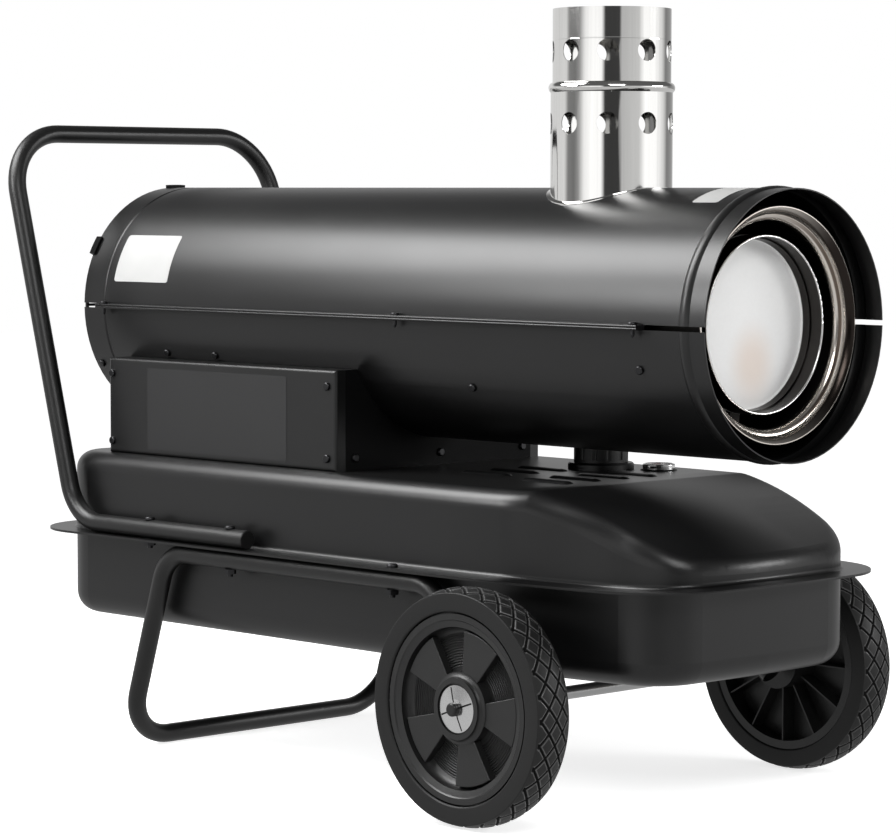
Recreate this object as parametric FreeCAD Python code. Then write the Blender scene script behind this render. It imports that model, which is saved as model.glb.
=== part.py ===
import FreeCAD, Part
import math
import os

V = FreeCAD.Vector
X_AXIS = V(1, 0, 0)
Y_AXIS = V(0, 1, 0)
Z_AXIS = V(0, 0, 1)

# Driving dimensions in millimetres, angles in degrees
# +X is where the hot air leaves, +Y is the left side, z = 0 is the floor

# Clearances
SEAT_GAP = 0.1
FIT_GAP = 0.05
MOVE_GAP = 0.4
ROUND_SAG = 1 - math.sqrt(0.5)

# Wheels and axle
WHEEL_RADIUS = 115.0
WHEEL_WIDTH = 42.0
WHEEL_GAP = 15.0
TYRE_CROWN = 4.0
TYRE_LIP = 1.2
TYRE_BEAD_ROUND = 2.2
RIM_RADIUS = 92.5
RIM_BAND = 8.5
RIM_GROOVE_WIDTH = 1.5
RIM_GROOVE_DEPTH = 5.0
RIM_BAND_DROP = 1.2
RIM_LEDGE_WIDTH = 6.0
RIM_LEDGE_FALL = 2.2
RIM_SET_BACK = 1.6
BOWL_RADIUS = 71.5
BOWL_DEPTH = 15.0
BOWL_SAG = 2.6
WEB_THICKNESS = 4.0
SPOKE_COUNT = 5
SPOKE_SPAN = 37.0
SPOKE_PHASE = 67.6
SPOKE_DROP = 6.0
SPOKE_GAP = 3.5
SPOKE_EDGE = 1.2
HUB_RADIUS = 35.0
HUB_ROUND = 5.5
HUB_CUP_RADIUS = 24.5
HUB_CUP_DEPTH = 3.0
BARREL_RADIUS = 28.0
BARREL_OVERHANG = 10.0
RIB_COUNT = 12
RIB_THICKNESS = 1.6
RIB_BITE = 1.0
HUB_PLATE_RADIUS = 22.75
HUB_PLATE_THICKNESS = 1.2
HUB_PLATE_DOME = 1.6
HUB_PLATE_GRIP = 3.0
HUB_SLOT_MARGIN = 1.2
HUB_SLOTS = 4
HUB_SLOT_WIDTH = 1.6
HUB_SLOT_PHASE = -20.0
AXLE_RADIUS = 6.6
AXLE_SET_BACK = 198.0
AXLE_TIP = 7.0
AXLE_TIP_ROUND = 2.4
SLEEVE_RADIUS = 10.0

# Fuel tank
PAN_CLEARANCE = 136.5
PAN_DEPTH = 94.0
TANK_CROWN = 86.0
TANK_LENGTH = 893.0
TANK_SIDE_MARGIN = 23.0
TANK_SET_BACK = 30.0
TANK_REAR_CORNER = 55.0
TANK_FRONT_CORNER = 66.0
TANK_FRONT_BOW_RADIUS = 1260.0
TANK_SIDE_BOW_RADIUS = 1100.0
TANK_TAPER_LENGTH = 266.0
TANK_SHEET = 1.2
FLANGE_OVERHANG = 30.0
PAN_EDGE_RADIUS = 24.0
CROWN_EDGE_RADIUS = 20.0
FLANGE_EDGE_RADIUS = 4.0
SLOPE_SET_BACK = 196.0
SLOPE_ANGLE = 10.0
SLOPE_RADIUS = 450.0
CREST_RADIUS = 24.0
BEAD_LENGTH = 68.0
BEAD_WIDTH = 14.0
BEAD_HEIGHT = 2.6
BEAD_PITCH = 41.0
BEAD_FRONT_MARGIN = 29.0
BEAD_REAR_GAP = 87.0
BEAD_ROW_GAP = 38.0
BEAD_ROW_Y = -10.5
FRONT_BEADS = 4
REAR_BEADS = 3

# Filler and gauge on the tank
FILLER_SET_BACK = 332.0
FILLER_Y = 84.0
FILLER_FLANGE_RADIUS = 34.5
FILLER_FLANGE = 7.0
FILLER_FLANGE_EDGE = 1.6
NECK_RADIUS = 22.0
NECK_BORE = 19.0
NECK_HEIGHT = 13.0
NECK_DROP = 12.0
CAP_RADIUS = 28.3
CAP_HEIGHT = 21.0
CAP_TOP = 3.0
CAP_EDGE = 3.0
CAP_FLUTES = 12
CAP_FLUTE_RADIUS = 3.0
GAUGE_SET_BACK = 278.0
GAUGE_Y = 114.0
GAUGE_RADIUS = 17.0
GAUGE_HEIGHT = 5.5
GAUGE_RING = 2.5
GAUGE_EDGE = 1.5
GAUGE_LEDGE = 1.0
GAUGE_FLOOR = 1.2
GAUGE_BOSS = 1.5
GAUGE_PIN_RADIUS = 1.0
POINTER_BOSS_RADIUS = 3.0
POINTER_BOSS = 1.0
POINTER_THICKNESS = 0.7
POINTER_ROOT = 3.2
POINTER_TIP = 0.8
LENS_THICKNESS = 1.2
DRAIN_RADIUS = 6.0
DRAIN_HEX = 9.5
DRAIN_HEAD = 7.0
DRAIN_BITE = 3.0
DRAIN_SET_BACK = 100.0

# Control box
BOX_LENGTH = 372.0
BOX_OVERHANG = 18.5
BOX_HEIGHT = 104.5
BOX_SET_BACK = 67.0
BOX_SHEET = 1.2
BOX_RETURN = 14.0
BOX_EDGE_RADIUS = 3.5
BOX_SCREW_MARGIN = 13.0
BOX_SCREW_DROP = 16.9
BOX_SCREW_EDGE = 6.5
LEDGE_GAP = 0.4

# Casing
BODY_RADIUS = 131.5
BODY_LENGTH = 925.0
BODY_FRONT_X = 500.0
BELLY_GAP = 29.0
SHELL_SHEET = 1.2
LIP_WIDTH = 11.0
LIP_THICKNESS = 2.5
LIP_FRONT_SET_BACK = 76.0
LIP_REAR_SET_BACK = 33.0
RIM_BEAD_SET_BACK = 19.0
RIM_BEAD_WIDTH = 12.7
RIM_BEAD_HEIGHT = 2.2
CREASE_SET_BACK = 34.0
CREASE_WIDTH = 5.0
CREASE_DEPTH = 0.9

# Flue
FLUE_SET_BACK = 241.0
FLUE_RADIUS = 61.0
SPIGOT_RADIUS = 59.2
FLUE_SHEET = 0.8
FLUE_RISE = 177.5
SPIGOT_LENGTH = 73.0
SPIGOT_END = 30.0
SPIGOT_LINE_WIDTH = 1.2
SPIGOT_LINE_DEPTH = 0.05
FLUE_BEAD_HEIGHT = 10.0
FLUE_BEAD_PROUD = 2.2
FLUE_LIP = 4.0
FLUE_HOLES = 9
FLUE_HOLE_RADIUS = 10.75
FLUE_HOLE_PHASE = -51.0
UPPER_ROW_DROP = 42.5
LOWER_ROW_DROP = 114.0
STUB_ENGAGE = 26.0

# Inner liner, outlet ring and combustion drum
LINER_GAP = 16.3
LINER_SHEET = 0.8
LINER_REAR_INSET = 40.0
RING_SET_BACK = 20.0
RING_CREASE_DEPTH = 10.0
RING_CREASE_WIDTH = 7.0
RING_LIP_DEPTH = 17.0
RING_LIP_WIDTH = 13.2
RING_ROLL = 1.5
RING_SHEET = 1.2
RING_SKIRT = 12.0
DRUM_GAP = 26.7
DRUM_SET_BACK = 37.0
DRUM_RIM = 2.0
DRUM_COLLAR_DEPTH = 15.0
DRUM_COLLAR_STEP = 1.5
DRUM_RECESS = 25.0
DRUM_DISC_STEP = 1.0
DRUM_SHEET = 1.2
BRACKET_COUNT = 3
STANDOFF_LENGTH = 20.0
STANDOFF_WIDTH = 14.0
FRONT_STANDOFF_SET_BACK = 86.0
REAR_STANDOFF_SET_BACK = 323.0
FRONT_STANDOFF_ANGLE = -18.0
REAR_STANDOFF_ANGLE = -31.0

# Burner
BURNER_RADIUS = 44.0
BURNER_SHEET = 1.5
BURNER_REAR_LENGTH = 90.0
BURNER_NOSE_LENGTH = 30.0
BURNER_FLANGE_RADIUS = 60.0
BURNER_FLANGE = 2.0
SWIRL_DEPTH = 10.0
SWIRL_THICKNESS = 2.0
SWIRL_SLOTS = 8
SWIRL_SLOT_WIDTH = 3.0
SWIRL_SLOT_LENGTH = 15.0
SWIRL_SLOT_MARGIN = 4.0
NOZZLE_RADIUS = 8.0
NOZZLE_TIP_RADIUS = 3.2
NOZZLE_TAIL_LENGTH = 105.0
NOZZLE_MOTOR_GAP = 28.0
ELECTRODE_RADIUS = 2.0
ELECTRODE_PITCH = 28.0
ELECTRODE_RISE = 12.0

# Fan and motor
MOTOR_RADIUS = 44.0
MOTOR_LENGTH = 105.0
MOTOR_SET_BACK = 125.0
MOTOR_NECK_RADIUS = 18.0
MOTOR_NECK = 12.0
SHAFT_RADIUS = 5.0
SHAFT_BEARING = 16.0
FAN_TIP_GAP = 15.9
FAN_HUB_RADIUS = 22.0
FAN_HUB_LENGTH = 26.0
FAN_HUB_EDGE = 6.5
BLADE_BITE = 3.3
FAN_SET_BACK = 47.0
FAN_BLADES = 6
BLADE_ROOT_CHORD = 26.0
BLADE_TIP_CHORD = 52.0
BLADE_ROOT_PITCH = 50.0
BLADE_TIP_PITCH = 68.0
BLADE_THICKNESS = 1.6
SHELF_SET_BACK = 105.0
SHELF_LENGTH = 140.0
SHELF_DROP = 49.0
SHELF_SHEET = 2.0
SHELF_FLANGE = 26.0
SHELF_SCREW_PITCH = 81.0

# Rear guard
GUARD_RINGS = 6
GUARD_INNER_RADIUS = 26.0
GUARD_WIRE = 3.0
GUARD_SPOKES = 8
HOOK_LENGTH = 33.0
HOOK_WIDTH = 16.0
HOOK_THICKNESS = 3.0
GUARD_SCREW_SET_BACK = 10.0
GUARD_SCREW_ANGLE = -30.0
HOOK_SPREAD = 60.0

# Controls and fuel parts in the box
KNOB_SET_BACK = 120.0
KNOB_RISE = 60.0
KNOB_RADIUS = 16.0
KNOB_HEIGHT = 15.0
KNOB_EDGE = 2.0
KNOB_TAPER = 1.6
KNOB_TOP_RADIUS = 12.5
KNOB_FLUTES = 10
KNOB_FLUTE_RADIUS = 2.0
KNOB_FLUTE_FOOT = 3.0
FLUTE_OFFSET = 0.45
SPINDLE_RADIUS = 3.0
ROCKER_SET_BACK = 62.0
ROCKER_LENGTH = 16.0
ROCKER_RADIUS = 10.5
ROCKER_FRAME = 3.0
ROCKER_FRAME_RISE = 2.0
ROCKER_FRAME_LIP = 1.0
ROCKER_PIN_RADIUS = 1.5
ROCKER_SINK = 7.0
ROCKER_TILT = 9.0
GLAND_SET_BACK = 300.0
GLAND_RISE = 30.0
GLAND_RADIUS = 11.0
GLAND_BORE = 4.5
GLAND_LENGTH = 22.0
GLAND_NECK_RADIUS = 7.7
GLAND_NUT = 6.0
GLAND_SKIRT = 7.7
GLAND_WAIST = 17.6
GLAND_WAIST_RADIUS = 9.35
GLAND_TIP_RADIUS = 6.6
BOARD_LENGTH = 130.0
BOARD_HEIGHT = 62.0
BOARD_THICKNESS = 1.6
BOARD_STANDOFF = 18.0
BOARD_POST_RADIUS = 3.0
BOARD_MARGIN = 8.0
PUMP_RADIUS = 17.0
PUMP_LENGTH = 90.0
PUMP_MARGIN = 45.0
PUMP_SET_BACK = 59.0
PUMP_FOOT = 3.0
PUMP_STEM_RADIUS = 6.0
PUMP_STEM = 10.0
PUMP_SHOULDER = 8.0
PUMP_SHOULDER_RADIUS = 13.6
PUMP_FOOT_MARGIN = 27.0
PIPE_RADIUS = 3.0
PIPE_BEND = 14.0
PIPE_FLOOR_GAP = 1.5
SUCTION_FLOOR_GAP = 14.0
STRAINER_RADIUS = 7.0
STRAINER_LENGTH = 26.0
STRAINER_SOCKET = 13.0
STRAINER_NECK = 1.5
TRANSFORMER_LENGTH = 84.0
TRANSFORMER_WIDTH = 44.0
TRANSFORMER_HEIGHT = 44.0
TRANSFORMER_SET_BACK = 200.0
TRANSFORMER_EDGE = 4.0

# Handle and frame
TUBE_INSET = 15.0
HANDLE_RADIUS = 10.0
HANDLE_WALL = 1.5
HANDLE_RISE = 437.0
HANDLE_REACH = 65.0
HANDLE_LEAN = 15.8
HANDLE_RUN = 287.0
HANDLE_LOWER_BEND = 55.0
HANDLE_UPPER_BEND = 70.0
PLUG_HEAD = 2.0
PLUG_EDGE = 0.8
PLUG_SHANK = 14.0
FRAME_RADIUS = 10.0
FRAME_WALL = 1.5
FOOT_INSET = 146.0
LEG_LEAN = 18.0
LEG_BEND = 42.0
FOOT_BEND = 55.0
FRONT_LEG_REACH = 112.0
FRONT_LEG_BEND = 40.0
FRAME_NOSE = 16.0
BOLT_RADIUS = 3.0
BOLT_HEAD_RADIUS = 5.5
BOLT_HEAD = 3.5
BOLT_HEAD_ROUND = 2.4
NUT_HEX = 5.5
NUT_HEIGHT = 5.0
BOLT_TIP = 3.0
FRONT_BOLT_MARGIN = 26.0
BOLT_PITCH = 132.5
FRAME_BOLT_MARGIN = 50.0

# Self-tapping screws
SCREW_RADIUS = 1.9
SCREW_HEAD_RADIUS = 4.4
SCREW_HEAD = 2.8
SCREW_HEAD_ROUND = 1.6
SCREW_POINT = 3.0
SEAM_SCREW_LENGTH = 13.0
CASING_SCREW_LENGTH = 7.0
SEAM_SCREW_FRONT = 85.0
SEAM_SCREW_MIDDLE = 411.0
SEAM_SCREW_REAR = 42.0

# Places worked out from the driving dimensions
SEAM_Z = PAN_CLEARANCE + PAN_DEPTH
FLANGE_TOP = SEAM_Z + TANK_SHEET
FLANGE_BOTTOM = SEAM_Z - TANK_SHEET
TANK_TOP = SEAM_Z + TANK_CROWN
BOX_TOP = TANK_TOP + BOX_HEIGHT
AXIS_Z = TANK_TOP + BELLY_GAP + BODY_RADIUS
BODY_RISE = AXIS_Z - BOX_TOP
BODY_REAR_X = BODY_FRONT_X - BODY_LENGTH
BODY_BORE = BODY_RADIUS - SHELL_SHEET
AXIS = V(0, 0, AXIS_Z)
AXLE_X = BODY_FRONT_X - AXLE_SET_BACK
AXLE_CENTRE = V(AXLE_X, 0, WHEEL_RADIUS)
TANK_FRONT_X = BODY_FRONT_X - TANK_SET_BACK
TANK_REAR_X = TANK_FRONT_X - TANK_LENGTH
BOX_HALF_WIDTH = BODY_RADIUS + BOX_OVERHANG
TANK_HALF_WIDTH = BOX_HALF_WIDTH + TANK_SIDE_MARGIN
FLANGE_HALF_WIDTH = TANK_HALF_WIDTH + FLANGE_OVERHANG
TUBE_Y = FLANGE_HALF_WIDTH - TUBE_INSET
WHEEL_INNER_Y = FLANGE_HALF_WIDTH + WHEEL_GAP
WHEEL_OUTER_Y = WHEEL_INNER_Y + WHEEL_WIDTH
HUB_FACE_Y = WHEEL_OUTER_Y - RIM_SET_BACK
HUB_SEAT_Y = HUB_FACE_Y - HUB_CUP_DEPTH
HUB_PLATE_Y = HUB_SEAT_Y + MOVE_GAP
AXLE_HALF = HUB_PLATE_Y + HUB_PLATE_THICKNESS + HUB_PLATE_DOME + AXLE_TIP
BARREL_END_Y = WHEEL_INNER_Y - BARREL_OVERHANG
BOX_REAR_X = BODY_REAR_X + BOX_SET_BACK
BOX_FRONT_X = BOX_REAR_X + BOX_LENGTH
BROW_X = BODY_FRONT_X - SLOPE_SET_BACK
BEAD_FREE_RUN = BROW_X - BEAD_FRONT_MARGIN - 2 * BEAD_LENGTH - BOX_FRONT_X
BEAD_ROW_STEP = BEAD_LENGTH + BEAD_FREE_RUN * BEAD_ROW_GAP / (BEAD_ROW_GAP + BEAD_REAR_GAP)
BOX_FLOOR = TANK_TOP + BOX_SHEET
COVER_INNER_Y = BOX_HALF_WIDTH - BOX_SHEET
PUMP_Y = BOX_HALF_WIDTH - PUMP_MARGIN
FLUE_X = BODY_FRONT_X - FLUE_SET_BACK
FLUE_TOP = AXIS_Z + BODY_RADIUS + FLUE_RISE
STUB_RADIUS = FLUE_RADIUS - FLUE_SHEET - 2 * SEAT_GAP
STUB_TOP = AXIS_Z + BODY_RADIUS + STUB_ENGAGE
RING_X = BODY_FRONT_X - RING_SET_BACK
MOTOR_REAR_X = BODY_REAR_X + MOTOR_SET_BACK
NOZZLE_TAIL_X = MOTOR_REAR_X + MOTOR_LENGTH + NOZZLE_MOTOR_GAP
DRUM_FRONT_X = BODY_FRONT_X - DRUM_SET_BACK
DRUM_REAR_X = NOZZLE_TAIL_X + NOZZLE_TAIL_LENGTH
LINER_REAR_X = DRUM_REAR_X + LINER_REAR_INSET
LINER_RADIUS = BODY_BORE - LINER_GAP
DRUM_RADIUS = LINER_RADIUS - LINER_SHEET - DRUM_GAP
FAN_RADIUS = BODY_BORE - FAN_TIP_GAP
FAN_REAR_X = BODY_REAR_X + FAN_SET_BACK
SHELF_Z = AXIS_Z - SHELF_DROP
SHELF_REAR_X = BODY_REAR_X + SHELF_SET_BACK
HANDLE_Z = FLANGE_TOP + HANDLE_RADIUS
HANDLE_TOP_X = BODY_REAR_X - HANDLE_REACH
HANDLE_TOP_Z = FLANGE_TOP + HANDLE_RISE
HANDLE_CORNER_X = HANDLE_TOP_X + (HANDLE_TOP_Z - HANDLE_Z) * math.tan(math.radians(HANDLE_LEAN))
HANDLE_END_X = HANDLE_CORNER_X + HANDLE_RUN
FRAME_Z = FLANGE_BOTTOM - FRAME_RADIUS
FOOT_X = BODY_REAR_X + FOOT_INSET
LEG_TOP_X = FOOT_X + (FRAME_Z - FRAME_RADIUS) * math.tan(math.radians(LEG_LEAN))
FRAME_CORNER_X = AXLE_X - FRONT_LEG_REACH
FRONT_BOLT_X = HANDLE_END_X - FRONT_BOLT_MARGIN
REAR_BOLT_X = FRONT_BOLT_X - BOLT_PITCH
FRAME_BOLT_X = FRAME_CORNER_X - FRAME_BOLT_MARGIN
FILLER_CENTRE = V(BODY_FRONT_X - FILLER_SET_BACK, FILLER_Y, TANK_TOP)
GAUGE_CENTRE = V(BODY_FRONT_X - GAUGE_SET_BACK, GAUGE_Y, TANK_TOP + GAUGE_BOSS)
DRAIN_CENTRE = V(TANK_FRONT_X - DRAIN_SET_BACK, 0, PAN_CLEARANCE)
KNOB_CENTRE = V(BOX_FRONT_X - KNOB_SET_BACK, BOX_HALF_WIDTH, TANK_TOP + KNOB_RISE)
ROCKER_CENTRE = V(BOX_FRONT_X - ROCKER_SET_BACK, BOX_HALF_WIDTH, TANK_TOP + KNOB_RISE)
ROCKER_HINGE = ROCKER_CENTRE - Y_AXIS * ROCKER_SINK
GLAND_CENTRE = V(BOX_FRONT_X - GLAND_SET_BACK, BOX_HALF_WIDTH, TANK_TOP + GLAND_RISE)
PUMP_FRONT = V(BOX_FRONT_X - PUMP_SET_BACK, PUMP_Y, BOX_FLOOR + PUMP_FOOT + PUMP_RADIUS)


# Common operations

def outward(solid):
    """The same solid with its faces pointing out."""
    return solid if solid.Volume > 0 else solid.reversed()


def joined(first, *others):
    """One solid out of overlapping solids."""
    return first.multiFuse(list(others)).removeSplitter()


def box(low, high):
    """Box between two opposite corners."""
    return Part.makeBox(high.x - low.x, high.y - low.y, high.z - low.z, low)


def turned(outline, origin, axis, radial):
    """Outline turned about an axis: each step ends at (along, radius), an arc gives its middle first."""
    def place(along, radius):
        return origin + axis * along + radial * radius

    edges = []
    start = place(*outline[0])
    for step in outline[1:] + outline[:1]:
        end = place(*step[-2:])
        if len(step) == 4:
            edges.append(Part.Arc(start, place(*step[:2]), end).toShape())
        else:
            edges.append(Part.LineSegment(start, end).toShape())
        start = end
    return outward(Part.Face(Part.Wire(edges)).revolve(origin, axis, 360))


def bowed(start, end, sag):
    """Arc step of an outline whose middle stands off the straight line to its left by sag."""
    along = end[0] - start[0]
    rise = end[1] - start[1]
    length = math.hypot(along, rise)
    middle = ((start[0] + end[0]) / 2 - sag * rise / length, (start[1] + end[1]) / 2 + sag * along / length)
    return middle + end


def spun(solid, count, origin, axis):
    """Copies of a solid spaced evenly about an axis."""
    copies = []
    for index in range(count):
        copy = solid.copy()
        copy.rotate(origin, axis, 360.0 * index / count)
        copies.append(copy)
    return copies


def mirrored(solid):
    """The same piece on the other side of the centre plane."""
    return solid.mirror(V(0, 0, 0), Y_AXIS)


def hexagon(centre, half_width, height):
    """Upright hexagonal prism across a given half width."""
    corner = half_width / math.cos(math.radians(30))
    points = []
    for index in range(7):
        angle = math.radians(60 * index)
        points.append(centre + V(corner * math.cos(angle), corner * math.sin(angle), 0))
    return Part.Face(Part.makePolygon(points)).extrude(Z_AXIS * height)


def bent_path(points, bends):
    """Straight runs joined by tangent arcs, one bend radius at each inner point."""
    edges = []
    start = points[0]
    for before, corner, after, bend in zip(points, points[1:], points[2:], bends):
        back = (before - corner).normalize()
        ahead = (after - corner).normalize()
        half = back.getAngle(ahead) / 2
        reach = bend / math.tan(half)
        middle = (back + ahead).normalize()
        crest = corner + middle * (bend / math.sin(half) - bend)
        edges.append(Part.LineSegment(start, corner + back * reach).toShape())
        edges.append(Part.Arc(corner + back * reach, crest, corner + ahead * reach).toShape())
        start = corner + ahead * reach
    edges.append(Part.LineSegment(start, points[-1]).toShape())
    return Part.Wire(edges)


def rod(path, start, ahead, radius):
    """Round rod carried along a path that sets out from start."""
    ring = Part.Wire(Part.makeCircle(radius, start, ahead))
    return outward(path.makePipeShell([ring], True, False))


def screw(seat, inward, length):
    """Pan-head self-tapping screw with a pointed end, its head resting at seat."""
    side = V(0, 0, 1) if abs(inward.z) < 0.5 else V(1, 0, 0)
    radial = (side - inward * side.dot(inward)).normalize()
    crown = (-SCREW_HEAD, SCREW_HEAD_RADIUS - SCREW_HEAD_ROUND)
    rim = (SCREW_HEAD_ROUND - SCREW_HEAD, SCREW_HEAD_RADIUS)
    outline = [(-SCREW_HEAD, 0), crown, bowed(crown, rim, SCREW_HEAD_ROUND * ROUND_SAG),
               (0, SCREW_HEAD_RADIUS), (0, SCREW_RADIUS), (length - SCREW_POINT, SCREW_RADIUS), (length, 0)]
    return turned(outline, seat, inward, radial)


def screw_hole(seat, inward):
    """Hole that a self-tapping screw passes through."""
    reach = SEAM_SCREW_LENGTH
    return Part.makeCylinder(SCREW_RADIUS + FIT_GAP, 2 * reach, seat - inward * reach, inward)


def radial_direction(angle):
    """Unit vector out of the casing's axis; 0 is to the right side, 90 is up."""
    turn = math.radians(angle)
    return V(0, -math.cos(turn), math.sin(turn))


# Casing

def casing_solid(inset, overrun):
    """Solid of revolution with the rolled front bead and the rear crease."""
    radius = BODY_RADIUS - inset
    rear = BODY_REAR_X - overrun
    front = BODY_FRONT_X + overrun
    bead_front = BODY_FRONT_X - RIM_BEAD_SET_BACK
    bead_rear = bead_front - RIM_BEAD_WIDTH
    crease_rear = BODY_REAR_X + CREASE_SET_BACK
    crease_front = crease_rear + CREASE_WIDTH
    outline = [
        (rear, 0), (rear, radius), (crease_rear, radius),
        bowed((crease_rear, radius), (crease_front, radius), -CREASE_DEPTH), (bead_rear, radius),
        bowed((bead_rear, radius), (bead_front, radius), RIM_BEAD_HEIGHT), (front, radius), (front, 0),
    ]
    return turned(outline, AXIS, X_AXIS, Z_AXIS)


def seam_lip(upward):
    """Hemmed lip with a rounded edge along the right side of one half casing."""
    rear = BODY_REAR_X + LIP_REAR_SET_BACK
    front = BODY_FRONT_X - LIP_FRONT_SET_BACK
    root = -BODY_BORE
    edge = -(BODY_RADIUS + LIP_WIDTH - LIP_THICKNESS / 2)
    rise = LIP_THICKNESS * upward
    crest = V(rear, edge - LIP_THICKNESS / 2, AXIS_Z + rise / 2)
    corners = [V(rear, root, AXIS_Z), V(rear, edge, AXIS_Z),
               V(rear, edge, AXIS_Z + rise), V(rear, root, AXIS_Z + rise)]
    edges = [
        Part.LineSegment(corners[0], corners[1]),
        Part.Arc(corners[1], crest, corners[2]),
        Part.LineSegment(corners[2], corners[3]),
        Part.LineSegment(corners[3], corners[0]),
    ]
    face = Part.Face(Part.Wire([edge.toShape() for edge in edges]))
    return face.extrude(X_AXIS * (front - rear))


def seam_slits():
    """Open slits of the seam in front of and behind the lips."""
    reach = BODY_RADIUS + LIP_WIDTH
    spans = [
        (BODY_FRONT_X - LIP_FRONT_SET_BACK, BODY_FRONT_X + reach),
        (BODY_REAR_X - reach, BODY_REAR_X + LIP_REAR_SET_BACK),
    ]
    return [box(V(low, -reach, AXIS_Z - LIP_THICKNESS), V(high, reach, AXIS_Z + LIP_THICKNESS))
            for low, high in spans]


def seam_screw_seats():
    """Head seats of the seam screws on the upper lips."""
    places = [BODY_FRONT_X - SEAM_SCREW_FRONT, BODY_FRONT_X - SEAM_SCREW_MIDDLE,
              BODY_REAR_X + SEAM_SCREW_REAR]
    reach = BODY_RADIUS + LIP_WIDTH / 2
    return [V(x, side * reach, AXIS_Z + LIP_THICKNESS) for x in places for side in (-1, 1)]


def casing_screw_seats():
    """Head seats and outward directions of the radial screws of the lower half."""
    shelf_middle = SHELF_REAR_X + SHELF_LENGTH / 2
    shelf_angle = -math.degrees(math.asin(SHELF_DROP / BODY_BORE))
    places = [
        (BODY_FRONT_X - FRONT_STANDOFF_SET_BACK, FRONT_STANDOFF_ANGLE),
        (BODY_FRONT_X - REAR_STANDOFF_SET_BACK, REAR_STANDOFF_ANGLE),
        (shelf_middle - SHELF_SCREW_PITCH / 2, shelf_angle),
        (shelf_middle + SHELF_SCREW_PITCH / 2, shelf_angle),
        (BODY_REAR_X + GUARD_SCREW_SET_BACK, GUARD_SCREW_ANGLE),
    ]
    seats = []
    for x, angle in places:
        for turn in (angle, 180 - angle):
            out = radial_direction(turn)
            seats.append((AXIS + X_AXIS * x + out * (BODY_RADIUS + SEAT_GAP), out))
    return seats


def half_casing(upward):
    """Upper or lower half of the sheet casing with its lips and slits."""
    shell = casing_solid(0, 0).cut(casing_solid(SHELL_SHEET, SHELL_SHEET))
    reach = 2 * BODY_RADIUS
    low = V(BODY_REAR_X - reach, -reach, AXIS_Z if upward > 0 else AXIS_Z - reach)
    high = V(BODY_FRONT_X + reach, reach, AXIS_Z + reach if upward > 0 else AXIS_Z)
    half = shell.common(box(low, high))
    lip = seam_lip(upward)
    half = joined(half, lip, mirrored(lip))
    holes = [screw_hole(seat, -Z_AXIS) for seat in seam_screw_seats()]
    return half.cut(Part.makeCompound(seam_slits() + holes))


def upper_shell():
    shell = half_casing(1)
    return shell.cut(Part.makeCylinder(STUB_RADIUS + SEAT_GAP, 2 * BODY_RADIUS, V(FLUE_X, 0, AXIS_Z)))


def lower_shell():
    shell = half_casing(-1)
    holes = [screw_hole(seat, -out) for seat, out in casing_screw_seats()]
    pipe = Part.makeCylinder(PIPE_RADIUS + MOVE_GAP, 2 * BODY_RADIUS, V(delivery_x(), 0, AXIS_Z), -Z_AXIS)
    return shell.cut(Part.makeCompound(holes + [pipe]))


def seam_screws():
    return [screw(seat, -Z_AXIS, SEAM_SCREW_LENGTH) for seat in seam_screw_seats()]


def casing_screws():
    return [screw(seat, -out, CASING_SCREW_LENGTH) for seat, out in casing_screw_seats()]


# Flue, liner, outlet ring and drum

def flue_pipe():
    """Pierced stainless pipe: wide foot, rolled bead, narrower spigot with a rolled line, saddle-cut lip."""
    bead_top = FLUE_TOP - SPIGOT_LENGTH
    bead_bottom = bead_top - FLUE_BEAD_HEIGHT
    crest = (bead_bottom + FLUE_BEAD_HEIGHT / 2, FLUE_RADIUS + FLUE_BEAD_PROUD)
    end = (FLUE_TOP - SPIGOT_END, SPIGOT_RADIUS)
    line = (end[0] - SPIGOT_LINE_WIDTH, SPIGOT_RADIUS)
    bore = SPIGOT_RADIUS - FLUE_SHEET
    outline = [
        (AXIS_Z, FLUE_RADIUS), (bead_bottom, FLUE_RADIUS), crest + (bead_top, SPIGOT_RADIUS), line,
        bowed(line, end, -SPIGOT_LINE_DEPTH), (FLUE_TOP, SPIGOT_RADIUS), (FLUE_TOP, bore),
        (bead_bottom, bore),
        (bead_bottom - FLUE_SHEET, FLUE_RADIUS - FLUE_SHEET), (AXIS_Z, FLUE_RADIUS - FLUE_SHEET),
    ]
    centre = V(FLUE_X, 0, 0)
    pipe = turned(outline, centre, Z_AXIS, X_AXIS)
    rear = V(BODY_REAR_X, 0, AXIS_Z)
    saddle = Part.makeCylinder(BODY_RADIUS + FIT_GAP, BODY_LENGTH, rear, X_AXIS)
    cover = Part.makeCylinder(BODY_RADIUS + FIT_GAP + FLUE_SHEET, BODY_LENGTH, rear, X_AXIS)
    foot = Part.makeCylinder(FLUE_RADIUS + FLUE_LIP, 2 * BODY_RADIUS, V(FLUE_X, 0, AXIS_Z))
    hollow = Part.makeCylinder(FLUE_RADIUS - FLUE_SHEET, 2 * BODY_RADIUS, V(FLUE_X, 0, AXIS_Z))
    lip = cover.cut(saddle).common(foot).cut(hollow)
    pipe = joined(pipe.cut(saddle), lip)
    start = math.radians(FLUE_HOLE_PHASE)
    facing = V(math.cos(start), math.sin(start), 0)
    holes = []
    for drop in (UPPER_ROW_DROP, LOWER_ROW_DROP):
        hole = Part.makeCylinder(FLUE_HOLE_RADIUS, 2 * FLUE_RADIUS, V(FLUE_X, 0, FLUE_TOP - drop), facing)
        holes += spun(hole, FLUE_HOLES, centre, Z_AXIS)
    return pipe.cut(Part.makeCompound(holes))


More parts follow.
